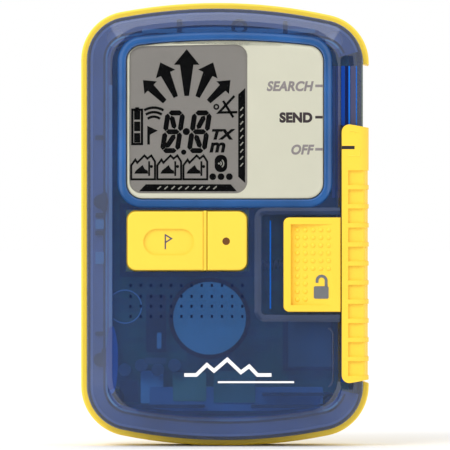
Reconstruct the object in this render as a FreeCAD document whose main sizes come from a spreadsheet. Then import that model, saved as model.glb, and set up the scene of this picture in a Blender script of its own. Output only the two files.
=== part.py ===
import FreeCAD, Part

import math
import os

import Sketcher
from FreeCAD import Placement, Rotation, Vector

# Avalanche transceiver, in millimetres. +Z runs up the case, the display faces -Y and the slide
# switch is on the +X side. The origin is under the middle of the case, on the surface it stands on.

DIMENSIONS = {
    # Case outline
    "case_half_width": 38.35,
    "case_height": 118.0,
    "case_front": -14.5,
    "case_back": 14.5,
    "bottom_arc": 140.0,
    "top_arc": 139.0,
    "top_arc_shift": 2.0,
    "bottom_corner": 13.5,
    "top_corner": 13.0,
    "fit_gap": 0.3,
    # Rear case
    "rim_front": -2.5,
    "rim_wall": 1.5,
    "rim_round": 0.6,
    "case_wall": 3.4,
    "case_ledge": 1.0,
    "back_wall": 1.9,
    "back_round": 4.0,
    "notch_floor": 36.7,
    "notch_bottom": 16.0,
    "notch_top": 101.9,
    "notch_slant": 1.0,
    # Lanyard recess and pin
    "lanyard_left": 16.0,
    "lanyard_right": 6.0,
    "lanyard_bottom": 104.0,
    "lanyard_top": 110.5,
    "lanyard_wall": 1.2,
    "lanyard_floor": 9.0,
    "lanyard_corner": 1.0,
    "lanyard_pin_radius": 1.0,
    "lanyard_pin_reach": 0.8,
    "lanyard_pin_depth": 12.2,
    "lanyard_pin_height": 107.2,
    # Front cover
    "cover_margin": 1.7,
    "cover_wall": 1.6,
    "cover_seam": -0.2,
    "cover_shoulder": -12.2,
    "bevel_width": 5.6,
    "bevel_depth": 2.8,
    "cover_round": 2.0,
    "panel_face": -13.7,
    "panel_side_margin": 7.15,
    "panel_top_margin": 5.0,
    "panel_bottom_margin": 6.4,
    "panel_corner": 10.5,
    "panel_chamfer": 1.3,
    "inner_face": -12.1,
    "cavity_face": -9.2,
    "seal_setback": 0.3,
    # Channel of the slide switch
    "channel_left": 30.6,
    "channel_bottom": 15.2,
    "channel_top": 103.7,
    "channel_floor": -10.7,
    "channel_corner": 1.4,
    "channel_wall": 1.5,
    # Slide switch
    "slider_left": 30.9,
    "slider_right": 38.1,
    "slider_bottom": 16.6,
    "slider_top": 85.8,
    "slider_slant": 1.25,
    "slider_end": 5.0,
    "slider_back": 9.5,
    "slider_border": 1.7,
    "slider_corner": 2.0,
    "slider_edge_round": 3.0,
    "rib_pitch": 5.05,
    "rib_cell": 3.88,
    "rib_depth": 0.7,
    "rib_side_depth": 0.25,
    "rib_margin": 1.6,
    "rib_first": 18.9,
    "rib_count": 11,
    "marker_height": 79.3,
    "marker_thickness": 0.9,
    "marker_length": 3.4,
    "marker_depth": 0.4,
    "foot_left": 32.6,
    "foot_right": 33.9,
    "foot_bottom": 42.0,
    "foot_length": 26.0,
    "foot_back": -8.9,
    "slide_travel": 16.4,
    # What goes with the slide switch
    "retainer_overlap": 2.0,
    "retainer_setback": 0.2,
    "retainer_thickness": 1.0,
    "retainer_corner": 0.8,
    "detent_inset": 4.0,
    "detent_radius": 0.7,
    "magnet_left": 31.4,
    "magnet_width": 2.2,
    "magnet_thickness": 1.0,
    "magnet_rise": 10.0,
    "magnet_length": 6.0,
    "click_left": 29.6,
    "click_thickness": 0.3,
    "click_front": -9.2,
    "click_width": 1.8,
    "click_bottom": 52.0,
    "click_length": 16.0,
    "click_bump_radius": 0.6,
    "click_bump_length": 1.4,
    "click_bump_inset": 0.2,
    # Display
    "window_half_width": 26.1,
    "window_bottom": 65.7,
    "window_top": 107.7,
    "window_corner": 4.2,
    "window_arc": 200.0,
    "frame_border": 2.3,
    "frame_face": -13.1,
    "lens_face": -13.3,
    "lens_thickness": 0.7,
    "lens_gap": 0.1,
    "lens_chamfer": 0.2,
    "mask_thickness": 0.5,
    "lcd_left": 25.3,
    "lcd_right": 5.9,
    "lcd_bottom": 67.2,
    "lcd_top": 106.6,
    "lcd_corner": 3.2,
    "lcd_thickness": 1.9,
    "glass_border": 0.6,
    "glass_ledge": 0.9,
    "glass_corner": 0.6,
    "holder_half_width": 27.5,
    "holder_bottom": 69.0,
    "holder_top": 109.0,
    "holder_thickness": 2.0,
    "holder_corner": 6.0,
    "shoulder_right": 25.5,
    "shoulder_bottom": 72.0,
    "shoulder_top": 105.0,
    "shoulder_corner": 1.0,
    "strip_left": 24.0,
    "strip_right": 4.5,
    "strip_drop": 0.5,
    "strip_width": 2.0,
    # Keys
    "keys_left": 25.8,
    "keys_right": 5.8,
    "keys_bottom": 46.8,
    "keys_top": 62.4,
    "keys_corner": 2.3,
    "keys_split": 5.2,
    "keys_groove": 1.06,
    "key_face_round": 0.45,
    "key_flange": 1.1,
    "key_flange_face": -11.8,
    "key_flange_thickness": 0.8,
    "dish_left": 21.6,
    "dish_right": 8.2,
    "dish_bottom": 50.8,
    "dish_top": 57.8,
    "dish_depth": 0.6,
    "dish_roundness": 0.997,
    "key_light_radius": 1.0,
    "key_light_setback": 0.25,
    "key_light_x": 0.3,
    "key_centre_height": 54.5,
    # Mat, switches and light behind the keys
    "mat_border": 1.2,
    "mat_front": -10.1,
    "mat_thickness": 0.8,
    "mat_corner": 1.5,
    "mat_hole_radius": 1.5,
    "switch_thickness": 1.8,
    "switch_height": 2.4,
    "mark_switch_half": 3.0,
    "light_switch_half": 2.2,
    "light_switch_drop": 4.6,
    "led_half_width": 1.0,
    "led_half_height": 0.6,
    "led_thickness": 1.1,
    # Lock button
    "lock_left": 15.5,
    "lock_right": 30.6,
    "lock_bottom": 35.8,
    "lock_top": 60.8,
    "lock_thickness": 3.0,
    "lock_corner": 1.5,
    "lock_face_round": 0.4,
    "lock_well_left": 11.8,
    "lock_frame_left": 10.0,
    "lock_frame_border": 1.5,
    "lock_frame_corner": 0.9,
    "lock_wall_border": 3.2,
    "lock_floor": -11.2,
    "lock_ramp_left": 17.4,
    "lock_ramp_right": 28.4,
    "lock_ramp_depth": 1.4,
    "lock_ramp_margin": 1.8,
    "lock_stem_left": 20.5,
    "lock_stem_right": 26.0,
    "lock_stem_half_height": 2.3,
    "lock_stem_back": -9.4,
    "lock_travel": 3.5,
    "lock_retainer_left": 3.0,
    "lock_retainer_right": 2.3,
    "lock_retainer_thickness": 1.5,
    "lock_spring_left": 9.6,
    "lock_spring_wire": 0.25,
    "lock_spring_radius": 1.0,
    "lock_spring_pitch": 1.3,
    "lock_spring_depth": -8.3,
    "spring_post_front": -9.6,
    "spring_post_depth": 2.6,
    "spring_post_thickness": 1.35,
    "spring_post_half": 1.8,
    # Sounder
    "sounder_x": 4.1,
    "sounder_height": 34.1,
    "sounder_face": -12.0,
    "sounder_thickness": 4.0,
    "sounder_radius": 9.66,
    "sounder_foot_radius": 5.0,
    "sounder_ring_radius": 10.8,
    "sounder_ring_thickness": 1.5,
    # Board and its spacers
    "board_margin": 5.4,
    "board_front": -6.5,
    "board_thickness": 1.6,
    "board_hole_gap": 0.5,
    "spacer_front": -11.6,
    "spacer_width": 0.8,
    "low_bar_height": 10.3,
    "high_bar_height": 13.5,
    "left_bar_left": 23.6,
    "left_bar_right": 5.4,
    "low_bar_left": 6.9,
    "low_bar_right": 23.6,
    "high_bar_left": 9.9,
    "high_bar_right": 25.9,
    "post_front": -8.9,
    "post_width": 1.4,
    "post_side": 32.8,
    "post_length": 4.8,
    "high_post_bottom": 62.6,
    "low_post_bottom": 21.1,
    # Components on the board
    "processor_left": -4.0,
    "processor_bottom": 64.0,
    "processor_side": 9.0,
    "processor_thickness": 1.0,
    "shield_left": 15.3,
    "shield_bottom": 20.1,
    "shield_width": 13.2,
    "shield_height": 13.3,
    "shield_thickness": 2.6,
    "shield_wall": 0.4,
    "radio_chip_left": 18.5,
    "radio_chip_bottom": 23.5,
    "radio_chip_side": 6.0,
    "radio_chip_thickness": 0.9,
    "module_left": -3.0,
    "module_bottom": 11.6,
    "module_width": 11.0,
    "module_height": 8.4,
    "module_thickness": 1.8,
    "crystal_left": -12.5,
    "crystal_bottom": 13.0,
    "crystal_width": 4.5,
    "crystal_height": 3.2,
    "crystal_thickness": 1.2,
    "capacitor_left": -26.6,
    "capacitor_bottom": 20.4,
    "capacitor_pitch": 4.4,
    "capacitor_stagger": 1.2,
    "capacitor_radius": 1.7,
    "capacitor_length": 4.2,
    "sensor_left": 31.0,
    "sensor_width": 1.6,
    "sensor_thickness": 0.9,
    "sensor_rise": 11.5,
    "sensor_length": 3.0,
    # Antennas
    "antenna_depth": 2.5,
    "antenna_x_side": 27.5,
    "antenna_x_bottom": 26.0,
    "antenna_x_core": 3.2,
    "antenna_x_coil": 5.0,
    "antenna_x_length": 70.0,
    "antenna_x_winding": 42.0,
    "antenna_y_left": 16.0,
    "antenna_y_height": 98.0,
    "antenna_y_core": 2.9,
    "antenna_y_coil": 4.4,
    "antenna_y_length": 42.0,
    "antenna_y_winding": 22.0,
    "antenna_z_side": 2.0,
    "antenna_z_front": -4.3,
    "antenna_z_height": 80.0,
    "antenna_z_core": 3.4,
    "antenna_z_coil": 8.5,
    "antenna_z_length": 7.6,
    "antenna_z_winding": 5.4,
    # Battery bay and cells
    "bay_half_width": 16.9,
    "bay_bottom": 10.7,
    "bay_top": 59.3,
    "bay_front": 0.5,
    "bay_wall": 1.4,
    "cell_radius": 5.25,
    "cell_length": 44.5,
    "cell_pitch": 11.1,
    "cell_depth": 6.9,
    "cell_bottom": 13.7,
    "nub_radius": 1.9,
    "nub_height": 0.8,
    "contact_wire": 0.22,
    "contact_radius": 2.6,
    "contact_pitch": 0.8,
    "contact_gap": 0.16,
    "contact_pad_radius": 2.5,
    "contact_plate_thickness": 0.4,
    "contact_plate_front": 2.2,
    "contact_plate_depth": 9.4,
    # Battery door
    "door_half_width": 19.6,
    "door_bottom": 7.2,
    "door_top": 66.1,
    "door_face": 12.9,
    "door_seat_border": 1.5,
    "door_seat_thickness": 1.8,
    "door_seat_gap": 0.1,
    "door_corner": 2.5,
    "door_seal_margin": 0.4,
    "door_seal_width": 1.3,
    "door_seal_thickness": 0.6,
    "door_seal_corner": 1.0,
    "groove_half_width": 9.0,
    "groove_height": 50.0,
    "groove_pitch": 2.4,
    "groove_width": 1.1,
    "groove_depth": 0.5,
    "groove_corner": 0.5,
    "hinge_height": 8.0,
    "hinge_depth": 13.7,
    "hinge_pin_radius": 0.6,
    "hinge_pin_reach": 1.2,
    "hinge_clearance": 0.06,
    "knuckle_flat": 0.01,
    # Screw of the battery door
    "door_screw_height": 62.3,
    "door_screw_head": 3.1,
    "door_screw_head_thickness": 0.9,
    "door_screw_radius": 1.5,
    "door_screw_tip": 10.0,
    "coin_slot_reach": 2.9,
    "coin_slot_half_width": 0.5,
    "coin_slot_depth": 0.6,
    "door_post_radius": 3.6,
    "door_post_front": 5.0,
    "door_insert_radius": 2.4,
    "door_insert_front": 6.0,
    "door_insert_length": 5.6,
    "clip_room_radius": 3.0,
    "clip_room_front": 12.0,
    "clip_front": 12.4,
    "clip_thickness": 0.4,
    # Case screws
    "boss_radius": 2.4,
    "screw_side": 29.0,
    "screw_top_left": 108.3,
    "screw_top_right": 107.8,
    "screw_bottom_left": 13.0,
    "screw_bottom_right": 11.5,
    "screw_bottom_right_x": 27.5,
    "screw_radius": 0.9,
    "screw_gap": 0.2,
    "screw_head_radius": 1.8,
    "screw_head_depth": 3.0,
    "screw_head_thickness": 1.4,
    "cross_reach": 1.0,
    "cross_half_width": 0.22,
    "cross_depth": 0.7,
    "insert_radius": 1.6,
    "insert_length": 5.0,
    "insert_setback": 0.5,
    "insert_bore_depth": 6.0,
}

# How far a cut starts outside the material, and how far a joined piece reaches into its neighbour.
BEYOND = 2.0
MERGE = 0.1


class Size:
    """A length that knows its number and the expression that the document keeps for it."""

    def __init__(self, number, text):
        self.number = number
        self.text = text

    def __float__(self):
        return float(self.number)

    def __add__(self, other):
        return Size(self.number + float(other), f"({self.text} + {wording(other)})")

    def __radd__(self, other):
        return self + other

    def __sub__(self, other):
        return Size(self.number - float(other), f"({self.text} - {wording(other)})")

    def __rsub__(self, other):
        return -self + other

    def __neg__(self):
        return Size(-self.number, f"(0 - {self.text})")

    def __mul__(self, factor):
        return Size(self.number * float(factor), f"({self.text} * {wording(factor)})")

    def __rmul__(self, factor):
        return self * factor

    def __truediv__(self, factor):
        return Size(self.number / float(factor), f"({self.text} / {wording(factor)})")


def wording(value):
    """The expression text of a Size, or of a plain number."""
    if isinstance(value, Size):
        return value.text
    return f"({float(value):.6f})"


class Sheet:
    """The driving dimensions: sheet.case_height gives that cell as a Size."""

    def __init__(self, document, dimensions):
        self.cells = document.addObject("Spreadsheet::Sheet", "Dimensions")
        self.numbers = dimensions
        for row, (alias, number) in enumerate(dimensions.items(), start=1):
            self.cells.set(f"A{row}", alias)
            self.cells.set(f"B{row}", str(number))
            self.cells.setAlias(f"B{row}", alias)

    def __getattr__(self, alias):
        return Size(self.numbers[alias], f"Dimensions.{alias}")


doc = FreeCAD.newDocument("AvalancheTransceiver")
size = Sheet(doc, DIMENSIONS)
doc.recompute()
nodes = []


def node(label, item):
    """Registers an object as a sub-part that is exported under this label."""
    item.Label = label
    nodes.append(item)
    return item


def bind(item, prop, value):
    item.setExpression(prop, wording(value))


# ---------------------------------------------------------------- sketches and Part Design features


def new_body(name):
    return doc.addObject("PartDesign::Body", name)


def sketch_on(body, role, across, up, out):
    """A sketch on an origin plane of the body, moved across and up in it and out along its normal."""
    sketch = body.newObject("Sketcher::SketchObject", f"{body.Name}_sketch")
    plane = next(item for item in body.Origin.OriginFeatures if item.Role == role)
    sketch.AttachmentSupport = [(plane, "")]
    sketch.MapMode = "FlatFace"
    for axis, value in zip("xyz", (across, up, out)):
        bind(sketch, f"AttachmentOffset.Base.{axis}", value)
    return sketch


def front_sketch(body, x, z, y):
    """A sketch that faces the front, with its own origin at x, y, z."""
    return sketch_on(body, "XZ_Plane", x, z, -y)


def constrain(sketch, kind, *where, value=None):
    """Adds a constraint, and binds its value to the sheet where it has one."""
    if value is None:
        return sketch.addConstraint(Sketcher.Constraint(kind, *where))
    index = sketch.addConstraint(Sketcher.Constraint(kind, *where, float(value)))
    sketch.setExpression(f"Constraints[{index}]", wording(value))
    return index


def draw_circle(sketch, radius):
    circle = Part.Circle(Vector(0, 0, 0), Vector(0, 0, 1), float(radius))
    index = sketch.addGeometry(circle, False)
    constrain(sketch, "Coincident", index, 3, -1, 1)
    constrain(sketch, "Radius", index, value=radius)


def draw_polygon(sketch, points):
    """Straight lines through points, each given as (across, up) from the sketch's origin."""
    corners = [Vector(float(a), float(b), 0) for a, b in points]
    for start, end in zip(corners, corners[1:] + corners[:1]):
        sketch.addGeometry(Part.LineSegment(start, end), False)
    for index, (across, up) in enumerate(points):
        previous = (index - 1) % len(points)
        constrain(sketch, "Coincident", previous, 2, index, 1)
        for kind, value in (("DistanceX", across), ("DistanceY", up)):
            if float(value) >= 0:
                constrain(sketch, kind, -1, 1, index, 1, value=value)
            else:
                constrain(sketch, kind, index, 1, -1, 1, value=-value)


def arc_between(centre, radius, start, end):
    circle = Part.Circle(Vector(*centre, 0), Vector(0, 0, 1), radius)
    return Part.ArcOfCircle(circle, math.radians(start), math.radians(end))


def draw_rectangle(sketch, width, height, radius=0):
    """A rectangle from the sketch's origin, with rounded corners where a radius is given."""
    if not float(radius):
        draw_polygon(sketch, [(0, 0), (width, 0), (width, height), (0, height)])
        return
    w, h, r = float(width), float(height), float(radius)
    corner_centres = [(w - r, r), (w - r, h - r), (r, h - r), (r, r)]
    sides = [((r, 0), (w - r, 0)), ((w, r), (w, h - r)), ((w - r, h), (r, h)), ((0, h - r), (0, r))]
    for number, (centre, side) in enumerate(zip(corner_centres, sides)):
        start, end = (Vector(*point, 0) for point in side)
        sketch.addGeometry(Part.LineSegment(start, end), False)
        turn = 90.0 * (number - 1)
        sketch.addGeometry(arc_between(centre, r, turn, turn + 90.0), False)
    for index in range(8):
        constrain(sketch, "Tangent", index, 2, (index + 1) % 8, 1)
    for index, kind in ((0, "Horizontal"), (2, "Vertical"), (4, "Horizontal"), (6, "Vertical")):
        constrain(sketch, kind, index)
    constrain(sketch, "Radius", 1, value=radius)
    for index in (3, 5, 7):
        constrain(sketch, "Equal", 1, index)
    constrain(sketch, "PointOnObject", 0, 1, -1)
    constrain(sketch, "PointOnObject", 6, 1, -2)
    constrain(sketch, "DistanceX", -1, 1, 2, 1, value=width)
    constrain(sketch, "DistanceY", -1, 1, 4, 1, value=height)


def draw_arched_outline(sketch, left, right, top, bottom_corner, top_corner, bottom_arc, top_arc, shift):
    """
    Straight sides at -left and right, an arched bottom through the origin and an arched top.

    The arcs have these radii, and the top one is centred at -shift. Corners are rounded.
    """
    x_left, x_right, z_top = -float(left), float(right), float(top)
    r_low, r_high = float(bottom_arc), float(top_arc)
    c_low, c_high = float(bottom_corner), float(top_corner)
    low_centre = (0.0, r_low)
    high_centre = (-float(shift), z_top - r_high)

    def corner(x_side, toward, arc_centre, arc_radius, radius, above):
        x = x_side - toward * radius
        rise = math.sqrt((arc_radius - radius) ** 2 - (x - arc_centre[0]) ** 2)
        z = arc_centre[1] + rise if above else arc_centre[1] - rise
        angle = math.degrees(math.atan2(z - arc_centre[1], x - arc_centre[0]))
        return (x, z), angle % 360.0

    low_left, low_left_angle = corner(x_left, -1, low_centre, r_low, c_low, False)
    low_right, low_right_angle = corner(x_right, 1, low_centre, r_low, c_low, False)
    high_right, high_right_angle = corner(x_right, 1, high_centre, r_high, c_high, True)
    high_left, high_left_angle = corner(x_left, -1, high_centre, r_high, c_high, True)
    pieces = [
        arc_between(low_centre, r_low, low_left_angle, low_right_angle),
        arc_between(low_right, c_low, low_right_angle, 360.0),
        Part.LineSegment(Vector(x_right, low_right[1], 0), Vector(x_right, high_right[1], 0)),
        arc_between(high_right, c_high, 0.0, high_right_angle),
        arc_between(high_centre, r_high, high_right_angle, high_left_angle),
        arc_between(high_left, c_high, high_left_angle, 180.0),
        Part.LineSegment(Vector(x_left, high_left[1], 0), Vector(x_left, low_left[1], 0)),
        arc_between(low_left, c_low, 180.0, low_left_angle),
    ]
    for piece in pieces:
        sketch.addGeometry(piece, False)
    for index in range(8):
        constrain(sketch, "Tangent", index, 2, (index + 1) % 8, 1)
    constrain(sketch, "Vertical", 2)
    constrain(sketch, "Vertical", 6)
    for index, radius in ((0, bottom_arc), (4, top_arc), (1, bottom_corner), (3, top_corner)):
        constrain(sketch, "Radius", index, value=radius)
    constrain(sketch, "Equal", 1, 7)
    constrain(sketch, "Equal", 3, 5)
    constrain(sketch, "DistanceX", -1, 1, 2, 1, value=right)
    constrain(sketch, "DistanceX", 6, 1, -1, 1, value=left)
    constrain(sketch, "PointOnObject", 0, 3, -2)
    constrain(sketch, "DistanceY", -1, 1, 0, 3, value=bottom_arc)
    if float(shift):
        constrain(sketch, "DistanceX", 4, 3, -1, 1, value=shift)
    else:
        constrain(sketch, "PointOnObject", 4, 3, -2)
    constrain(sketch, "DistanceY", 4, 3, -1, 1, value=top_arc - top)


def draw_case_outline(sketch, margin):
    """The case's outline, drawn in by a margin. The sketch's origin is at that margin above z = 0."""
    half_width = size.case_half_width - margin
    draw_arched_outline(
        sketch,
        left=half_width,
        right=half_width,
        top=size.case_height - 2 * margin,
        bottom_corner=size.bottom_corner - margin,
        top_corner=size.top_corner - margin,
        bottom_arc=size.bottom_arc - margin,
        top_arc=size.top_arc - margin,
        shift=size.top_arc_shift,
    )


def extrude(body, kind, sketch, length, name):
    """A Pad or a Pocket from the sketch, towards +Y from a front sketch."""
    feature = body.newObject(f"PartDesign::{kind}", f"{body.Name}_{name}")
    feature.Profile = sketch
    feature.Reversed = kind == "Pad"
    bind(feature, "Length", length)
    return feature


def extrude_outline(body, kind, margin, front, back):
    sketch = front_sketch(body, 0, margin, front)
    draw_case_outline(sketch, margin)
    return extrude(body, kind, sketch, back - front, "outline")


def extrude_rectangle(body, kind, x, z, y, radius=0):
    """A rectangular Pad or Pocket over the x, z and y spans, each given as (low, high)."""
    sketch = front_sketch(body, x[0], z[0], y[0])
    draw_rectangle(sketch, x[1] - x[0], z[1] - z[0], radius)
    return extrude(body, kind, sketch, y[1] - y[0], "rectangle")


def extrude_circle(body, kind, x, z, radius, y):
    sketch = front_sketch(body, x, z, y[0])
    draw_circle(sketch, radius)
    return extrude(body, kind, sketch, y[1] - y[0], "circle")


def extrude_polygon(body, kind, origin, points, y):
    sketch = front_sketch(body, origin[0], origin[1], y[0])
    draw_polygon(sketch, points)
    return extrude(body, kind, sketch, y[1] - y[0], "polygon")


def edges_where(shape, test):
    names = []
    for number, edge in enumerate(shape.Edges, start=1):
        middle = edge.valueAt((edge.FirstParameter + edge.LastParameter) / 2)
        places = [vertex.Point for vertex in edge.Vertexes] + [middle]
        if all(test(place) for place in places):
            names.append(f"Edge{number}")
    return names


def dress(body, kind, prop, value, test):
    """A Fillet or Chamfer on the tip's edges whose points all pass the test."""
    doc.recompute()
    base = body.Tip
    names = edges_where(base.Shape, test)
    if not names:
        raise RuntimeError(f"{body.Name}: no edge to {kind}")
    feature = body.newObject(f"PartDesign::{kind}", f"{body.Name}_{kind.lower()}")
    feature.Base = (base, names)
    bind(feature, prop, value)
    doc.recompute()
    return feature


def near(value, target, tolerance=1e-4):
    return abs(value - float(target)) < tolerance


# ---------------------------------------------------------------------------- Part primitives


def box(name, x, y, z):
    """A Part::Box over the x, y and z spans, each given as (low, high)."""
    item = doc.addObject("Part::Box", name)
    for prop, axis, (low, high) in zip(("Length", "Width", "Height"), "xyz", (x, y, z)):
        bind(item, prop, high - low)
        bind(item, f"Placement.Base.{axis}", low)
    return item


TURNS = {
    "x": Rotation(Vector(0, 1, 0), 90),
    "y": Rotation(Vector(1, 0, 0), -90),
    "z": Rotation(),
}


def cylinder(name, radius, length, start, along="y"):
    """A Part::Cylinder whose axis leaves the start point towards +X, +Y or +Z."""
    item = doc.addObject("Part::Cylinder", name)
    bind(item, "Radius", radius)
    bind(item, "Height", length)
    item.Placement = Placement(Vector(0, 0, 0), TURNS[along])
    for axis, value in zip("xyz", start):
        bind(item, f"Placement.Base.{axis}", value)
    return item


def fuse(name, *items):
    result = doc.addObject("Part::MultiFuse", name)
    result.Shapes = list(items)
    return result


def cut(name, base, tool):
    result = doc.addObject("Part::Cut", name)
    result.Base = base
    result.Tool = tool
    return result


def group(name, items):
    """Separate solids kept together in one object."""
    result = doc.addObject("Part::Compound", name)
    result.Links = list(items)
    return result


def tube(name, outer, inner, length, start, along="y"):
    """A ring: a cylinder with a concentric hole."""
    shell = cylinder(f"{name}_outer", outer, length, start, along)
    hole = cylinder(f"{name}_hole", inner, length, start, along)
    return cut(name, shell, hole)


def rounded_box(name, x, y, z, radius):
    """A box whose four edges along Y are rounded."""
    body = new_body(name)
    extrude_rectangle(body, "Pad", x, z, y, radius)
    return body


# ----------------------------------------------------------------------------------- the housing


def make_rear_case():
    body = new_body("rear_case")
    extrude_outline(body, "Pad", 0.0, size.rim_front, size.case_back)
    dress(body, "Fillet", "Radius", size.back_round, lambda p: near(p.y, size.case_back))
    dress(body, "Fillet", "Radius", size.rim_round, lambda p: near(p.y, size.rim_front))
    extrude_outline(body, "Pocket", size.rim_wall, size.rim_front, size.case_ledge)
    cavity_back = size.case_back - size.back_wall
    extrude_outline(body, "Pocket", size.case_wall, size.case_ledge, cavity_back)
    cut_side_notch(body)
    add_battery_bay(body, cavity_back)
    add_screw_posts(body, cavity_back)
    add_lanyard_recess(body, cavity_back)
    return node("rear_case", body)


def screw_places():
    """Where the four case screws stand, as (x, z)."""
    return {
        "top_left": (-size.screw_side, size.screw_top_left),
        "top_right": (size.screw_side, size.screw_top_right),
        "bottom_left": (-size.screw_side, size.screw_bottom_left),
        "bottom_right": (size.screw_bottom_right_x, size.screw_bottom_right),
    }


def cut_side_notch(body):
    """The slide switch wraps round the case here, so the rim stops with slanted ends."""
    width = size.case_half_width - size.notch_floor + BEYOND
    height = size.notch_top - size.notch_bottom
    points = [(0, size.notch_slant), (width, 0), (width, height - size.notch_slant), (0, height)]
    span = (size.rim_front - BEYOND, size.case_back + BEYOND)
    extrude_polygon(body, "Pocket", (size.notch_floor, size.notch_bottom), points, span)


def add_battery_bay(body, cavity_back):
    """The walls of the battery bay, the seat of its door, the screw post and the hinge holes."""
    half = size.bay_half_width
    wall = size.bay_wall
    low, high = size.bay_bottom, size.bay_top
    behind = cavity_back + MERGE
    bay_walls = (-half - wall, half + wall), (low - wall, high + wall)
    extrude_rectangle(body, "Pad", *bay_walls, (size.bay_front - wall, behind))
    border = size.door_seat_border
    door_left = size.door_half_width + size.fit_gap
    door_low, door_high = size.door_bottom - size.fit_gap, size.door_top + size.fit_gap
    door_seat = (-door_left - border, door_left + border), (door_low - border, door_high + border)
    extrude_rectangle(body, "Pad", *door_seat, (size.door_face - size.door_seat_thickness, behind))
    screw = (0, size.door_screw_height)
    extrude_circle(body, "Pad", *screw, size.door_post_radius, (size.door_post_front, behind))
    outside = size.case_back + BEYOND
    extrude_rectangle(body, "Pocket", (-half, half), (low, high), (size.bay_front, outside))
    door_recess = (-door_left, door_left), (door_low, door_high)
    recess_floor = size.door_face - size.door_seat_gap
    extrude_rectangle(body, "Pocket", *door_recess, (recess_floor, outside))
    extrude_circle(body, "Pocket", *screw, size.door_insert_radius, (size.door_insert_front, size.door_face))
    extrude_circle(body, "Pocket", *screw, size.clip_room_radius, (size.clip_room_front, size.door_face))
    pin_reach = door_left + size.hinge_pin_reach
    sketch = sketch_on(body, "YZ_Plane", size.hinge_depth, size.hinge_height, -pin_reach)
    draw_circle(sketch, size.hinge_pin_radius + size.hinge_clearance)
    pins = extrude(body, "Pocket", sketch, pin_reach * 2, "pin_holes")
    pins.Reversed = True


def add_screw_posts(body, cavity_back):
    for x, z in screw_places().values():
        extrude_circle(body, "Pad", x, z, size.boss_radius, (size.case_ledge, cavity_back + MERGE))
    for x, z in screw_places().values():
        through = (size.case_ledge - MERGE, size.case_back + BEYOND)
        extrude_circle(body, "Pocket", x, z, size.screw_radius + size.screw_gap, through)
        head = (size.case_back - size.screw_head_depth, size.case_back + BEYOND)
        extrude_circle(body, "Pocket", x, z, size.screw_head_radius + size.screw_gap, head)


def add_lanyard_recess(body, cavity_back):
    """A pocket in the back, near the top, with a hole each side for the lanyard pin."""
    left, right = -size.lanyard_left, -size.lanyard_right
    low, high = size.lanyard_bottom, size.lanyard_top
    wall = size.lanyard_wall
    floor = size.lanyard_floor
    walls = (left - wall, right + wall), (low - wall, high + wall)
    extrude_rectangle(body, "Pad", *walls, (floor - wall, cavity_back + MERGE))
    pocket = (left, right), (low, high)
    extrude_rectangle(body, "Pocket", *pocket, (floor, size.case_back + BEYOND), size.lanyard_corner)
    reach = size.lanyard_pin_reach
    sketch = sketch_on(body, "YZ_Plane", size.lanyard_pin_depth, size.lanyard_pin_height, left - reach)
    draw_circle(sketch, size.lanyard_pin_radius)
    holes = extrude(body, "Pocket", sketch, right - left + reach * 2, "lanyard_pin")
    holes.Reversed = True


def make_front_cover():
    """See-through cover: a bevelled blank, hollowed from behind and opened at the front."""
    blank = new_body("cover_blank")
    extrude_outline(blank, "Pad", size.cover_margin, size.cover_shoulder, size.cover_seam)
    bevel = dress(blank, "Chamfer", "Size", size.bevel_depth, lambda p: near(p.y, size.cover_shoulder))
    bevel.ChamferType = "Two distances"
    bind(bevel, "Size2", size.bevel_width)
    bevel_end = size.cover_shoulder + size.bevel_depth
    dress(blank, "Fillet", "Radius", size.cover_round, lambda p: near(p.y, bevel_end))
    add_front_panel(blank)
    dress(blank, "Chamfer", "Size", size.panel_chamfer, lambda p: near(p.y, size.panel_face))
    hollow = make_cover_hollow()
    openings = make_cover_openings()
    hollowed = cut("cover_hollowed", blank, hollow)
    cover = cut("front_cover", hollowed, openings)
    return node("front_cover", cover)


def draw_panel_outline(sketch, grow):
    """The raised front panel's outline, or its inner side where grow is negative."""
    side = size.case_half_width - size.panel_side_margin + grow
    height = size.case_height - size.panel_top_margin - size.panel_bottom_margin + 2 * grow
    draw_arched_outline(
        sketch,
        left=side,
        right=side,
        top=height,
        bottom_corner=size.panel_corner + grow,
        top_corner=size.panel_corner + grow,
        bottom_arc=size.bottom_arc,
        top_arc=size.top_arc,
        shift=size.top_arc_shift,
    )


def add_front_panel(body):
    sketch = front_sketch(body, 0, size.panel_bottom_margin, size.panel_face)
    draw_panel_outline(sketch, 0)
    extrude(body, "Pad", sketch, size.cavity_face - size.panel_face, "panel")


def make_cover_hollow():
    body = new_body("cover_hollow")
    margin = size.cover_margin + size.cover_wall
    extrude_outline(body, "Pad", margin, size.cavity_face, size.cover_seam + BEYOND)
    sketch = front_sketch(body, 0, size.panel_bottom_margin + size.cover_wall, size.inner_face)
    draw_panel_outline(sketch, -size.cover_wall)
    extrude(body, "Pad", sketch, size.cavity_face - size.inner_face + MERGE, "panel")
    front = size.inner_face - BEYOND
    wall = size.channel_wall
    beside_channel = (size.channel_left - wall, size.case_half_width)
    full_height = (0.0, size.case_height)
    extrude_rectangle(body, "Pocket", beside_channel, full_height, (front, size.cavity_face))
    lock_walls = (size.lock_frame_left - wall, size.case_half_width)
    lock_heights = (size.lock_bottom - size.lock_wall_border, size.lock_top + size.lock_wall_border)
    extrude_rectangle(body, "Pocket", lock_walls, lock_heights, (front, size.lock_floor + wall))
    for x, z in screw_places().values():
        extrude_circle(body, "Pocket", x, z, size.boss_radius, (front, size.cover_seam))
    return body


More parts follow.
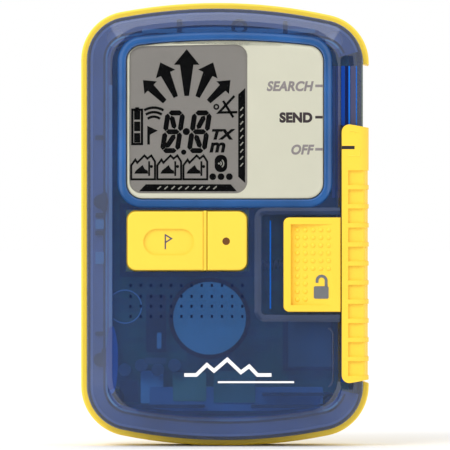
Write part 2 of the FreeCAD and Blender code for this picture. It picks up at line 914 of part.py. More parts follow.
def make_cover_openings():
    """Everything that is cut from the cover: channel, window, key opening, lock well, screw holes."""
    body = new_body("cover_openings")
    before = size.case_front - BEYOND
    beside = size.case_half_width + BEYOND
    corner = size.channel_corner
    channel = (size.channel_left, beside), (size.channel_bottom, size.channel_top)
    extrude_rectangle(body, "Pad", *channel, (before, size.channel_floor), corner)
    side = (size.notch_floor, beside), (size.channel_bottom + corner, size.channel_top - corner)
    extrude_rectangle(body, "Pad", *side, (size.channel_floor - MERGE, size.cover_seam + BEYOND))
    add_window_openings(body, before)
    add_key_opening(body, before)
    add_lock_openings(body, before)
    slot = (size.foot_left - size.fit_gap, size.foot_right + size.fit_gap)
    slot_top = size.foot_bottom + size.foot_length + size.slide_travel + size.fit_gap
    slot_heights = (size.foot_bottom - size.fit_gap, slot_top)
    extrude_rectangle(body, "Pad", slot, slot_heights, (size.channel_floor - MERGE, size.cavity_face + MERGE))
    for x, z in screw_places().values():
        hole = (size.cover_seam - size.insert_bore_depth, size.cover_seam + BEYOND)
        extrude_circle(body, "Pad", x, z, size.insert_radius, hole)
    return body


def draw_window(sketch, grow):
    """The window's outline, grown by a border: flat bottom, arched top, rounded corners."""
    half = size.window_half_width + grow
    draw_arched_outline(
        sketch,
        left=half,
        right=half,
        top=size.window_top - size.window_bottom + 2 * grow,
        bottom_corner=size.window_corner + grow,
        top_corner=size.window_corner + grow,
        bottom_arc=size.window_arc * 20,
        top_arc=size.window_arc,
        shift=0,
    )


def extrude_window(body, kind, grow, y):
    sketch = front_sketch(body, 0, size.window_bottom - grow, y[0])
    draw_window(sketch, grow)
    return extrude(body, kind, sketch, y[1] - y[0], "window")


def add_window_openings(body, before):
    """A shallow step round the window frames the lens that is set in the opening."""
    extrude_window(body, "Pad", size.frame_border, (before, size.frame_face))
    extrude_window(body, "Pad", 0, (before, size.inner_face + MERGE))


def add_key_opening(body, before):
    gap = size.fit_gap
    x = (-size.keys_left - gap, size.keys_right + gap)
    z = (size.keys_bottom - gap, size.keys_top + gap)
    extrude_rectangle(body, "Pad", x, z, (before, size.inner_face + MERGE), size.keys_corner + gap)


def add_lock_openings(body, before):
    border = size.lock_frame_border
    corner = size.lock_frame_corner
    right = size.channel_left + corner + MERGE
    frame_z = (size.lock_bottom - border, size.lock_top + border)
    extrude_rectangle(body, "Pad", (size.lock_frame_left, right), frame_z, (before, size.frame_face), corner)
    well_z = (size.lock_bottom - size.fit_gap, size.lock_top + size.fit_gap)
    extrude_rectangle(body, "Pad", (size.lock_well_left, right), well_z, (before, size.lock_floor), corner)
    slot_x = (size.lock_stem_left - size.lock_travel - size.fit_gap, size.lock_stem_right + size.fit_gap)
    stem_low, stem_high = lock_stem_heights()
    slot_z = (stem_low - size.fit_gap, stem_high + size.fit_gap)
    extrude_rectangle(body, "Pad", slot_x, slot_z, (size.lock_floor - MERGE, size.lock_floor + BEYOND))


def lock_stem_heights():
    middle = (size.lock_bottom + size.lock_top) / 2
    return middle - size.lock_stem_half_height, middle + size.lock_stem_half_height


def make_perimeter_seal():
    """A rubber ring between the case's ledge and the cover's edge."""
    body = new_body("perimeter_seal")
    extrude_outline(body, "Pad", size.cover_margin, size.cover_seam, size.case_ledge)
    inner_margin = size.cover_margin + size.cover_wall
    sketch = front_sketch(body, 0, inner_margin, size.cover_seam)
    draw_case_outline(sketch, inner_margin)
    extrude(body, "Pocket", sketch, size.case_ledge - size.cover_seam, "inside")
    beside = (size.notch_floor - size.seal_setback, size.case_half_width + BEYOND)
    heights = (size.channel_bottom, size.channel_top)
    extrude_rectangle(body, "Pocket", beside, heights, (size.cover_seam, size.case_ledge))
    node("perimeter_seal", body)


def make_case_fasteners():
    inserts = []
    screws = []
    for place, (x, z) in screw_places().items():
        start = (x, size.cover_seam - size.insert_setback - size.insert_length, z)
        name = f"insert_{place}"
        inserts.append(tube(name, size.insert_radius, size.screw_radius, size.insert_length, start))
        screws.append(make_case_screw(f"case_screw_{place}", x, z))
    node("threaded_inserts", group("threaded_inserts", inserts))
    node("case_screws", group("case_screws", screws))


def make_case_screw(name, x, z):
    """A pan-head screw with a cross recess."""
    head_start = size.case_back - size.screw_head_depth
    head_end = head_start + size.screw_head_thickness
    tip = size.cover_seam - size.insert_length
    shank = cylinder(f"{name}_shank", size.screw_radius, head_start - tip, (x, tip, z))
    head = cylinder(f"{name}_head", size.screw_head_radius, size.screw_head_thickness, (x, head_start, z))
    whole = fuse(f"{name}_whole", shank, head)
    reach, half = size.cross_reach, size.cross_half_width
    cross_y = (head_end - size.cross_depth, head_end + MERGE)
    bars = [
        box(f"{name}_bar_a", (x - reach, x + reach), cross_y, (z - half, z + half)),
        box(f"{name}_bar_b", (x - half, x + half), cross_y, (z - reach, z + reach)),
    ]
    return cut(name, whole, fuse(f"{name}_cross", *bars))


def make_lanyard_pin():
    start_x = -size.lanyard_left - size.lanyard_pin_reach
    length = size.lanyard_left - size.lanyard_right + size.lanyard_pin_reach * 2
    start = (start_x, size.lanyard_pin_depth, size.lanyard_pin_height)
    node("lanyard_pin", cylinder("lanyard_pin", size.lanyard_pin_radius, length, start, "x"))


# ----------------------------------------------------------------------------------- the display


def make_display():
    """Lens, printed panel, liquid crystal, its holder and the rubber strip that connects it."""
    lens_back = size.lens_face + size.lens_thickness
    lens = new_body("display_lens")
    extrude_window(lens, "Pad", -size.lens_gap, (size.lens_face, lens_back))
    dress(lens, "Chamfer", "Size", size.lens_chamfer, lambda p: near(p.y, size.lens_face))
    node("display_lens", lens)

    mask = new_body("display_panel")
    mask_back = lens_back + size.mask_thickness
    extrude_window(mask, "Pad", -size.lens_gap, (lens_back, mask_back))
    lcd_x = (-size.lcd_left, size.lcd_right)
    lcd_z = (size.lcd_bottom, size.lcd_top)
    extrude_rectangle(mask, "Pocket", lcd_x, lcd_z, (lens_back, mask_back), size.lcd_corner)
    node("display_panel", mask)

    lcd_back = mask_back + size.lcd_thickness
    border = size.glass_border
    glass_x = (-size.lcd_left - border, size.lcd_right + border)
    glass_z = (size.lcd_bottom - size.glass_ledge, size.lcd_top + border)
    glass = rounded_box("lcd_glass", glass_x, (mask_back, lcd_back), glass_z, size.glass_corner)
    node("lcd_glass", glass)

    holder = new_body("lcd_holder")
    holder_x = (-size.holder_half_width, size.holder_half_width)
    holder_z = (size.holder_bottom, size.holder_top)
    holder_y = (lcd_back, lcd_back + size.holder_thickness)
    extrude_rectangle(holder, "Pad", holder_x, holder_z, holder_y, size.holder_corner)
    shoulder_x = (size.lcd_right + border + size.fit_gap, size.shoulder_right)
    shoulder_z = (size.shoulder_bottom, size.shoulder_top)
    extrude_rectangle(holder, "Pad", shoulder_x, shoulder_z, (mask_back, lcd_back), size.shoulder_corner)
    node("lcd_holder", holder)

    strip_x = (-size.strip_left, size.strip_right)
    strip_z = (size.lcd_bottom - size.strip_drop, size.lcd_bottom - size.strip_drop + size.strip_width)
    node("lcd_connector_strip", box("lcd_connector_strip", strip_x, (lcd_back, size.board_front), strip_z))


# -------------------------------------------------------------------------------------- the keys


def make_key(name, left, right, flange_left, flange_right):
    """A key cap with a wider flange behind the cover that keeps it in its opening."""
    body = new_body(name)
    cap_z = (size.keys_bottom, size.keys_top)
    cap_y = (size.case_front, size.key_flange_face + MERGE)
    extrude_rectangle(body, "Pad", (left, right), cap_z, cap_y)
    flange_z = (size.keys_bottom - size.key_flange, size.keys_top + size.key_flange)
    flange_y = (size.key_flange_face, size.key_flange_face + size.key_flange_thickness)
    extrude_rectangle(body, "Pad", (flange_left, flange_right), flange_z, flange_y)
    return body


def make_keys():
    groove = size.keys_groove / 2
    left, right = -size.keys_left, size.keys_right
    split = -size.keys_split
    gap = size.fit_gap / 2

    mark = make_key("mark_key", left, split - groove, left - size.key_flange, split - gap)
    round_key_corners(mark, left)
    add_key_dish(mark)
    soften_key_face(mark)
    node("mark_key", mark)

    light = make_key("light_key", split + groove, right, split + gap, right + size.key_flange)
    round_key_corners(light, right)
    soften_key_face(light)
    hole_y = (size.case_front - BEYOND, size.key_flange_face + BEYOND)
    window = (size.key_light_x, size.key_centre_height, size.key_light_radius)
    extrude_circle(light, "Pocket", *window, hole_y)
    node("light_key", light)

    face = size.case_front + size.key_light_setback
    start = (size.key_light_x, face, size.key_centre_height)
    length = size.key_flange_face + size.key_flange_thickness - face
    node("key_light_window", cylinder("key_light_window", size.key_light_radius, length, start))


def round_key_corners(body, x_side):
    """Rounds the cap's two outer corners, along Y."""
    cap_back = float(size.key_flange_face) + MERGE
    dress(
        body,
        "Fillet",
        "Radius",
        size.keys_corner,
        lambda p: near(p.x, x_side) and p.y < cap_back and is_key_end(p.z),
    )


def is_key_end(z):
    return near(z, size.keys_bottom) or near(z, size.keys_top)


def soften_key_face(body):
    dress(
        body,
        "Fillet",
        "Radius",
        size.key_face_round,
        lambda p: near(p.y, size.case_front) and not is_in_dish(p),
    )


def is_in_dish(p):
    inside_x = -float(size.dish_left) - MERGE < p.x < -float(size.dish_right) + MERGE
    inside_z = float(size.dish_bottom) - MERGE < p.z < float(size.dish_top) + MERGE
    return inside_x and inside_z


def add_key_dish(body):
    """A pill-shaped dish, whose ends are just short of half circles."""
    dish_x = (-size.dish_left, -size.dish_right)
    dish_z = (size.dish_bottom, size.dish_top)
    radius = (size.dish_top - size.dish_bottom) * size.dish_roundness / 2
    dish_y = (size.case_front - BEYOND, size.case_front + size.dish_depth)
    extrude_rectangle(body, "Pocket", dish_x, dish_z, dish_y, radius)


def make_keypad_parts():
    """The rubber mat under the keys, their two switches and the light behind the small key."""
    border = size.mat_border
    mat_x = (-size.keys_left - border, size.keys_right + border)
    mat_z = (size.keys_bottom - border, size.keys_top + border)
    mat_y = (size.mat_front, size.mat_front + size.mat_thickness)
    mat = rounded_box("keypad_mat", mat_x, mat_y, mat_z, size.mat_corner)
    light = (size.key_light_x, size.key_centre_height)
    extrude_circle(mat, "Pocket", *light, size.mat_hole_radius, mat_y)
    node("keypad_mat", mat)
    mark_centre = (-size.keys_left - size.keys_split) / 2
    light_switch_z = size.key_centre_height - size.light_switch_drop
    switches = [
        key_switch("mark_switch", mark_centre, size.key_centre_height, size.mark_switch_half),
        key_switch("light_switch", size.key_light_x, light_switch_z, size.light_switch_half),
    ]
    node("key_switches", group("key_switches", switches))
    led_x = (size.key_light_x - size.led_half_width, size.key_light_x + size.led_half_width)
    led_z = (size.key_centre_height - size.led_half_height, size.key_centre_height + size.led_half_height)
    led_y = (size.board_front - size.led_thickness, size.board_front)
    node("status_led", box("status_led", led_x, led_y, led_z))


def key_switch(name, x, z, half):
    """A square tactile switch with a round plunger."""
    body_y = (size.board_front - size.switch_thickness, size.board_front)
    body = box(f"{name}_body", (x - half, x + half), body_y, (z - half, z + half))
    start = (x, size.board_front - size.switch_height, z)
    plunger = cylinder(f"{name}_plunger", half / 2, size.switch_height, start)
    return fuse(name, body, plunger)


# ------------------------------------------------------------------------------- the slide switch


def make_slide_switch():
    """A bar that lies in the channel and wraps round the side of the case."""
    body = new_body("slide_switch")
    left, low = size.slider_left, size.slider_bottom
    width = size.slider_right - left
    height = size.slider_top - low
    slant = size.slider_slant
    points = [(0, 0), (width, slant), (width, height - slant), (0, height)]
    extrude_polygon(body, "Pad", (left, low), points, (size.case_front, size.slider_back))
    plate_back = size.channel_floor - size.fit_gap
    inside = (left - BEYOND, size.notch_floor + size.fit_gap)
    heights = (low - BEYOND, size.slider_top + BEYOND)
    extrude_rectangle(body, "Pocket", inside, heights, (plate_back, size.slider_back + BEYOND))
    corner = size.slider_corner
    dress(body, "Fillet", "Radius", corner, lambda p: near(p.x, left) and not is_slider_middle(p.z))
    dress(body, "Fillet", "Radius", size.slider_edge_round, is_slider_outer_edge)
    foot_x = (size.foot_left, size.foot_right)
    foot_z = (size.foot_bottom, size.foot_bottom + size.foot_length)
    extrude_rectangle(body, "Pad", foot_x, foot_z, (plate_back - MERGE, size.foot_back))
    cut_slider_ribs(body)
    marker_x, marker_z = marker_spans()
    marker_y = (size.case_front - BEYOND, size.case_front + size.marker_depth)
    extrude_rectangle(body, "Pocket", marker_x, marker_z, marker_y)
    node("slide_switch", body)


def is_slider_middle(z):
    """True well away from the slider's two ends."""
    end = float(size.slider_end)
    return float(size.slider_bottom) + end < z < float(size.slider_top) - end


def is_slider_outer_edge(p):
    return near(p.x, size.slider_right) and near(p.y, size.case_front)


def marker_spans():
    half = size.marker_thickness / 2
    x = (size.slider_left, size.slider_left + size.marker_length)
    return x, (size.marker_height - half, size.marker_height + half)


def cut_slider_ribs(body):
    """Grip cells that run across the front, round the edge and down the side, between ribs."""
    front = size.case_front - BEYOND
    width = size.slider_right - size.slider_left
    outside = width + BEYOND
    left, floor = size.slider_border, size.rib_depth + BEYOND
    side = width - size.rib_side_depth
    rib_end = size.slider_back - size.rib_margin - front
    edge = size.slider_edge_round
    slope = (edge - size.rib_side_depth) * math.cos(math.radians(45))
    sketch = sketch_on(body, "XY_Plane", size.slider_left, front, size.rib_first)
    draw_polygon(
        sketch,
        [
            (left, 0),
            (outside, 0),
            (outside, rib_end),
            (side, rib_end),
            (side, edge + BEYOND),
            (width - edge + slope, edge - slope + BEYOND),
            (width - edge / 2, floor),
            (left, floor),
        ],
    )
    cell = extrude(body, "Pocket", sketch, size.rib_cell, "rib_cell")
    cell.Reversed = True
    pattern = body.newObject("PartDesign::LinearPattern", "slide_switch_ribs")
    pattern.Originals = [cell]
    pattern.Direction = (sketch, ["N_Axis"])
    bind(pattern, "Length", size.rib_pitch * (size.rib_count - 1))
    bind(pattern, "Occurrences", size.rib_count)
    body.Tip = pattern


def make_slide_parts():
    """What goes with the slider: its marker, retainer and magnet, and the click spring on the board."""
    marker_x, marker_z = marker_spans()
    marker_y = (size.case_front, size.case_front + size.marker_depth)
    node("slide_marker", box("slide_marker", marker_x, marker_y, marker_z))

    retainer = new_body("slide_retainer")
    low = size.foot_bottom - size.retainer_overlap
    high = size.foot_bottom + size.foot_length + size.retainer_overlap
    retainer_x = (size.channel_left + size.retainer_setback, size.foot_right + size.retainer_setback)
    retainer_y = (size.foot_back, size.foot_back + size.retainer_thickness)
    extrude_rectangle(retainer, "Pad", retainer_x, (low, high), retainer_y, size.retainer_corner)
    half_travel = size.slide_travel / 2
    first = low + size.detent_inset
    for position in range(3):
        notch = (size.channel_left, first + half_travel * position)
        notch_y = (size.foot_back - MERGE, size.foot_back + size.retainer_thickness + MERGE)
        extrude_circle(retainer, "Pocket", *notch, size.detent_radius, notch_y)
    node("slide_retainer", retainer)

    magnet_x = (size.magnet_left, size.magnet_left + size.magnet_width)
    magnet_y = (retainer_y[1], retainer_y[1] + size.magnet_thickness)
    magnet_low = size.foot_bottom + size.magnet_rise
    magnet_z = (magnet_low, magnet_low + size.magnet_length)
    node("slide_magnet", box("slide_magnet", magnet_x, magnet_y, magnet_z))

    strip_x = (size.click_left, size.click_left + size.click_thickness)
    strip_y = (size.click_front, size.click_front + size.click_width)
    strip_z = (size.click_bottom, size.click_bottom + size.click_length)
    strip = box("detent_strip", strip_x, strip_y, strip_z)
    bump_start = (strip_x[1], size.click_front + size.click_bump_inset, first + size.slide_travel)
    bump = cylinder("detent_bump", size.click_bump_radius, size.click_bump_length, bump_start)
    node("detent_spring", fuse("detent_spring", strip, bump))


# --------------------------------------------------------------------------------- the lock button


def make_lock_button():
    """The button that blocks the slider until it is pushed to the left, and its retainer."""
    body = new_body("lock_button")
    left, right = size.lock_left, size.lock_right
    front = size.case_front
    plate_back = front + size.lock_thickness
    z = (size.lock_bottom, size.lock_top)
    extrude_rectangle(body, "Pad", (left, right), z, (front, plate_back))
    dress(body, "Fillet", "Radius", size.lock_corner, lambda p: near(p.x, left) and is_lock_end(p.z))
    dress(body, "Fillet", "Radius", size.lock_face_round, lambda p: near(p.y, front))
    add_lock_ramp(body)
    stem_low, stem_high = lock_stem_heights()
    stem_x = (size.lock_stem_left, size.lock_stem_right)
    extrude_rectangle(body, "Pad", stem_x, (stem_low, stem_high), (plate_back - MERGE, size.lock_stem_back))
    node("lock_button", body)

    retainer_x = (
        size.lock_stem_left - size.lock_retainer_left,
        size.lock_stem_right + size.lock_retainer_right,
    )
    retainer_y = (size.lock_stem_back, size.lock_stem_back + size.lock_retainer_thickness)
    retainer_z = (stem_low - size.retainer_overlap, stem_high + size.retainer_overlap)
    retainer = rounded_box("lock_retainer", retainer_x, retainer_y, retainer_z, size.retainer_corner)
    node("lock_retainer", retainer)


def is_lock_end(z):
    return near(z, size.lock_bottom) or near(z, size.lock_top)


def add_lock_ramp(body):
    """A thumb ramp: deepest at the left, running out at the surface on the right."""
    margin = size.lock_ramp_margin
    run = size.lock_ramp_right - size.lock_ramp_left
    low = size.lock_bottom + margin
    sketch = sketch_on(body, "XY_Plane", size.lock_ramp_left, size.case_front - BEYOND, low)
    draw_polygon(sketch, [(0, 0), (run, 0), (run, BEYOND), (0, size.lock_ramp_depth + BEYOND)])
    height = size.lock_top - size.lock_bottom - 2 * margin
    ramp = extrude(body, "Pocket", sketch, height, "ramp")
    ramp.Reversed = True


def coil_spring(name, wire, radius, pitch, length, start, along):
    """A helical spring of round wire, swept along a helix that leaves the start point."""
    helix = doc.addObject("Part::Helix", f"{name}_helix")
    bind(helix, "Pitch", pitch)
    bind(helix, "Height", length)
    bind(helix, "Radius", radius)
    section = doc.addObject("Part::Circle", f"{name}_section")
    bind(section, "Radius", wire)
    section.Placement = Placement(Vector(float(radius), 0, 0), Rotation(Vector(1, 0, 0), 90))
    bind(section, "Placement.Base.x", radius)
    sweep = doc.addObject("Part::Sweep", f"{name}_sweep")
    sweep.Sections = [section]
    sweep.Spine = (helix, [])
    sweep.Solid = True
    sweep.Frenet = True
    sweep.Placement = Placement(Vector(0, 0, 0), TURNS[along])
    for axis, value in zip("xyz", start):
        bind(sweep, f"Placement.Base.{axis}", value)
    return sweep


def make_lock_spring():
    """The spring behind the cover that pushes the lock button back, and the post that it leans on."""
    left = size.lock_spring_left
    wire = size.lock_spring_wire
    middle = (size.lock_bottom + size.lock_top) / 2
    post_x = (left - wire - size.spring_post_thickness, left - wire)
    post_y = (size.spring_post_front, size.spring_post_front + size.spring_post_depth)
    post_z = (middle - size.spring_post_half, middle + size.spring_post_half)
    node("lock_spring_post", box("lock_spring_post", post_x, post_y, post_z))
    length = size.lock_stem_left - size.lock_retainer_left - size.fit_gap - left - wire
    start = (left, size.lock_spring_depth, middle)
    turns = (wire, size.lock_spring_radius, size.lock_spring_pitch, length)
    node("lock_spring", coil_spring("lock_spring", *turns, start, "x"))


# ------------------------------------------------------------------------------------ electronics


def make_sounder():
    """The piezo sounder on its foot, and the rubber ring that seals it to the cover."""
    x, z = -size.sounder_x, size.sounder_height
    face = size.sounder_face
    can = cylinder("sounder_can", size.sounder_radius, size.sounder_thickness, (x, face, z))
    foot_start = face + size.sounder_thickness
    foot = cylinder(
        "sounder_foot", size.sounder_foot_radius, size.board_front - foot_start, (x, foot_start, z)
    )
    node("sounder", fuse("sounder", can, foot))
    ring_start = (x, size.inner_face, z)
    ring_size = (size.sounder_ring_radius, size.sounder_radius, size.sounder_ring_thickness)
    node("sounder_ring", tube("sounder_ring", *ring_size, ring_start))


def make_main_board():
    body = new_body("main_board")
    back = size.board_front + size.board_thickness
    extrude_outline(body, "Pad", size.board_margin, size.board_front, back)
    for x, z in screw_places().values():
        hole = (size.board_front - MERGE, back + MERGE)
        extrude_circle(body, "Pocket", x, z, size.boss_radius + size.board_hole_gap, hole)
    node("main_board", body)


def on_board(name, left, bottom, width, height, thickness):
    """A rectangular component on the front of the board."""
    y = (size.board_front - thickness, size.board_front)
    return box(name, (left, left + width), y, (bottom, bottom + height))


def make_board_parts():
    """The larger components on both faces of the board."""
    back = size.board_front + size.board_thickness
    side = size.processor_side
    processor_x = (size.processor_left, size.processor_left + side)
    processor_z = (size.processor_bottom, size.processor_bottom + side)
    processor_y = (back, back + size.processor_thickness)
    node("processor", box("processor", processor_x, processor_y, processor_z))
    make_radio_shield()
    chip = (size.radio_chip_left, size.radio_chip_bottom, size.radio_chip_side, size.radio_chip_side)
    node("radio_chip", on_board("radio_chip", *chip, size.radio_chip_thickness))
    module = (size.module_left, size.module_bottom, size.module_width, size.module_height)
    node("wireless_module", on_board("wireless_module", *module, size.module_thickness))
    crystal = (size.crystal_left, size.crystal_bottom, size.crystal_width, size.crystal_height)
    node("crystal", on_board("crystal", *crystal, size.crystal_thickness))
    make_capacitors()
    make_switch_sensors(back)


def make_radio_shield():
    """A thin metal can over the radio chip, open towards the board."""
    wall = size.shield_wall
    left, bottom = size.shield_left, size.shield_bottom
    width, height = size.shield_width, size.shield_height
    walls = on_board("shield_can", left, bottom, width, height, size.shield_thickness)
    inner_size = (width - 2 * wall, height - 2 * wall, size.shield_thickness - wall)
    hollow = on_board("shield_hollow", left + wall, bottom + wall, *inner_size)
    node("radio_shield", cut("radio_shield", walls, hollow))


def make_capacitors():
    """A staggered row of round capacitors."""
    cans = []
    for index in range(4):
        x = size.capacitor_left + size.capacitor_pitch * index
        z = size.capacitor_bottom + size.capacitor_stagger * (index % 2)
        start = (x, size.board_front - size.capacitor_length, z)
        cans.append(cylinder(f"capacitor_{index + 1}", size.capacitor_radius, size.capacitor_length, start))
    node("capacitors", group("capacitors", cans))


def make_switch_sensors(back):
    """Three sensors behind the board that feel where the slider's magnet stands."""
    sensors = []
    x = (size.sensor_left, size.sensor_left + size.sensor_width)
    for index in range(3):
        low = size.foot_bottom + size.sensor_rise + size.slide_travel / 2 * index
        z = (low, low + size.sensor_length)
        sensors.append(box(f"switch_sensor_{index + 1}", x, (back, back + size.sensor_thickness), z))
    node("switch_sensors", group("switch_sensors", sensors))


def make_inner_frame():
    """Moulded bars that space the board from the cover, and two posts at its left edge."""
    bar_y = (size.spacer_front, size.board_front)
    low_z = (size.low_bar_height, size.low_bar_height + size.spacer_width)
    high_z = (size.high_bar_height, size.high_bar_height + size.spacer_width)
    bars = [
        box("frame_bar_left", (-size.left_bar_left, -size.left_bar_right), bar_y, low_z),
        box("frame_bar_right", (size.low_bar_left, size.low_bar_right), bar_y, low_z),
        box("frame_bar_upper", (size.high_bar_left, size.high_bar_right), bar_y, high_z),
    ]
    post_x = (-size.post_side, -size.post_side + size.post_width)
    post_y = (size.post_front, size.board_front)
    for name, low in (("high", size.high_post_bottom), ("low", size.low_post_bottom)):
        bars.append(box(f"frame_post_{name}", post_x, post_y, (low, low + size.post_length)))
    node("board_spacers", group("board_spacers", bars))


def make_antennas():
    """Three antennas at right angles: along the left side, across the top and front to back."""
    depth = size.antenna_depth
    upright = (size.antenna_x_core, size.antenna_x_coil, size.antenna_x_length, size.antenna_x_winding)
    make_antenna("antenna_x", upright, (-size.antenna_x_side, depth, size.antenna_x_bottom), "z")
    across = (size.antenna_y_core, size.antenna_y_coil, size.antenna_y_length, size.antenna_y_winding)
    make_antenna("antenna_y", across, (-size.antenna_y_left, depth, size.antenna_y_height), "x")
    deep = (size.antenna_z_core, size.antenna_z_coil, size.antenna_z_length, size.antenna_z_winding)
    make_antenna("antenna_z", deep, (size.antenna_z_side, size.antenna_z_front, size.antenna_z_height), "y")


def make_antenna(name, sizes, start, along):
    """A ferrite core with a coil wound round its middle."""
    core_radius, coil_radius, core_length, coil_length = sizes
    core = cylinder(f"{name}_core", core_radius, core_length, start, along)
    node(f"{name}_core", core)
    offset = (core_length - coil_length) / 2
    coil_start = [value + offset if axis == along else value for axis, value in zip("xyz", start)]
    node(f"{name}_coil", tube(f"{name}_coil", coil_radius, core_radius, coil_length, coil_start, along))


# -------------------------------------------------------------------------------------- batteries


def make_batteries():
    """Three cells side by side, the middle one upside down, with their springs and contact plates."""
    springs = []
    pads = []
    plate = size.contact_plate_thickness
    spring_start = size.bay_bottom + plate + size.contact_wire
    spring_length = size.cell_bottom - spring_start - size.contact_wire - size.contact_gap
    pad_low = size.cell_bottom + size.cell_length
    pad_length = size.bay_top - plate - pad_low
    spring = (size.contact_wire, size.contact_radius, size.contact_pitch, spring_length)
    for index in range(3):
        x = (index - 1) * size.cell_pitch
        make_cell(f"battery_cell_{index + 1}", x, upright=index != 1)
        start = (x, size.cell_depth, spring_start)
        springs.append(coil_spring(f"contact_spring_{index + 1}", *spring, start, "z"))
        pad_start = (x, size.cell_depth, pad_low)
        pads.append(cylinder(f"contact_pad_{index + 1}", size.contact_pad_radius, pad_length, pad_start, "z"))
    node("contact_springs", group("contact_springs", springs))
    half = size.bay_half_width - size.fit_gap
    plate_y = (size.contact_plate_front, size.contact_plate_front + size.contact_plate_depth)
    bottom_z = (size.bay_bottom, size.bay_bottom + plate)
    top_z = (size.bay_top - plate, size.bay_top)
    node("contact_plate_bottom", box("contact_plate_bottom", (-half, half), plate_y, bottom_z))
    top = box("contact_plate_top_strip", (-half, half), plate_y, top_z)
    node("contact_plate_top", fuse("contact_plate_top", top, *pads))


def make_cell(name, x, upright):
    """A cylindrical cell with its small contact at the top, or at the bottom if not upright."""
    low = size.cell_bottom
    body_length = size.cell_length - size.nub_height
    body_low = low if upright else low + size.nub_height
    nub_low = low + body_length if upright else low
    can = cylinder(f"{name}_can", size.cell_radius, body_length, (x, size.cell_depth, body_low), "z")
    nub = cylinder(f"{name}_nub", size.nub_radius, size.nub_height, (x, size.cell_depth, nub_low), "z")
    node(name, fuse(name, can, nub))


def make_battery_door():
    """The door on the back, hinged at its lower edge and held by one screw at the top."""
    body = new_body("battery_door")
    half = size.door_half_width
    span = (-half, half), (size.door_bottom, size.door_top)
    extrude_rectangle(body, "Pad", *span, (size.door_face, size.case_back))
    dress(body, "Fillet", "Radius", size.door_corner, is_door_top_corner)
    knuckle = size.hinge_height - size.door_bottom - size.knuckle_flat
    dress(body, "Fillet", "Radius", knuckle, lambda p: near(p.z, size.door_bottom) and is_door_face(p.y))
    add_grip_grooves(body)
    screw = (0, size.door_screw_height)
    outside = size.case_back + BEYOND
    head_floor = size.case_back - size.door_screw_head_thickness
    extrude_circle(body, "Pocket", *screw, size.door_screw_head + size.screw_gap, (head_floor, outside))
    hole = size.door_screw_radius + size.screw_gap / 2
    extrude_circle(body, "Pocket", *screw, hole, (size.door_face - BEYOND, outside))
    reach = half + size.hinge_pin_reach
    sketch = sketch_on(body, "YZ_Plane", size.hinge_depth, size.hinge_height, -reach)
    draw_circle(sketch, size.hinge_pin_radius)
    pins = extrude(body, "Pad", sketch, reach * 2, "hinge_pins")
    pins.Reversed = False
    node("battery_door", body)


def is_door_top_corner(p):
    return near(abs(p.x), size.door_half_width) and near(p.z, size.door_top)


def is_door_face(y):
    return near(y, size.door_face) or near(y, size.case_back)


def add_grip_grooves(body):
    """Shallow grooves across the door for the thumb."""
    half = size.groove_half_width
    groove_y = (size.case_back - size.groove_depth, size.case_back + BEYOND)
    for index in range(5):
        low = size.groove_height - size.groove_pitch * index
        span = (-half, half), (low, low + size.groove_width)
        extrude_rectangle(body, "Pocket", *span, groove_y, size.groove_corner)


def make_door_parts():
    """The door's seal, and its quarter-turn screw with the clip and the insert that it turns in."""
    seal = new_body("door_seal")
    margin, width = size.door_seal_margin, size.door_seal_width
    half = size.bay_half_width - margin
    low, high = size.bay_bottom + margin, size.bay_top - margin
    seal_y = (size.door_face - size.door_seal_thickness, size.door_face)
    extrude_rectangle(seal, "Pad", (-half, half), (low, high), seal_y, size.door_seal_corner)
    inner = half - width
    inner_corner = size.door_seal_corner / 2
    extrude_rectangle(seal, "Pocket", (-inner, inner), (low + width, high - width), seal_y, inner_corner)
    node("door_seal", seal)

    z = size.door_screw_height
    head_low = size.case_back - size.door_screw_head_thickness
    tip = size.door_screw_tip
    head = cylinder("door_screw_head", size.door_screw_head, size.door_screw_head_thickness, (0, head_low, z))
    shank = cylinder("door_screw_shank", size.door_screw_radius, head_low - tip, (0, tip, z))
    slot_x = (-size.coin_slot_reach, size.coin_slot_reach)
    slot_y = (size.case_back - size.coin_slot_depth, size.case_back + BEYOND)
    slot_z = (z - size.coin_slot_half_width, z + size.coin_slot_half_width)
    slot = box("door_screw_slot", slot_x, slot_y, slot_z)
    whole = fuse("door_screw_whole", head, shank)
    node("door_screw", cut("door_screw", whole, slot))
    outer = size.door_insert_radius
    clip_start = (0, size.clip_front, z)
    node("screw_clip", tube("screw_clip", outer, size.door_screw_radius, size.clip_thickness, clip_start))
    insert_start = (0, size.door_insert_front, z)
    bore = size.door_screw_radius + size.fit_gap
    node("door_screw_insert", tube("door_screw_insert", outer, bore, size.door_insert_length, insert_start))


# ------------------------------------------------------------------------------ build and export


def check_document():
    broken = [item.Name for item in doc.Objects if {"Invalid", "Error"} & set(item.State)]
    if broken:
        raise RuntimeError(f"objects failed to compute: {broken}")
    for item in nodes:
        if item.Shape.isNull() or not item.Shape.isValid():
            raise RuntimeError(f"{item.Label} has no valid shape")
        if not item.Shape.Solids:
            raise RuntimeError(f"{item.Label} has no solid")


def export_nodes():
    os.makedirs("parts", exist_ok=True)
    for item in nodes:
        item.Shape.exportStep(f"parts/{item.Label}.step")
    print(f"{len(nodes)} nodes written")


def main():
    make_rear_case()
    make_front_cover()
    make_perimeter_seal()
    make_case_fasteners()
    make_lanyard_pin()
    make_display()
    make_keys()
    make_keypad_parts()
    make_slide_switch()
    make_slide_parts()
    make_lock_button()
    make_lock_spring()
    make_sounder()
    make_main_board()
    make_board_parts()
    make_inner_frame()
    make_antennas()
    make_batteries()
    make_battery_door()
    make_door_parts()
    doc.recompute()
    check_document()
    export_nodes()


main()
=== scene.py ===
import math

import bmesh
import bpy
from mathutils import Matrix, Vector
from mathutils.geometry import convex_hull_2d, intersect_line_line_2d


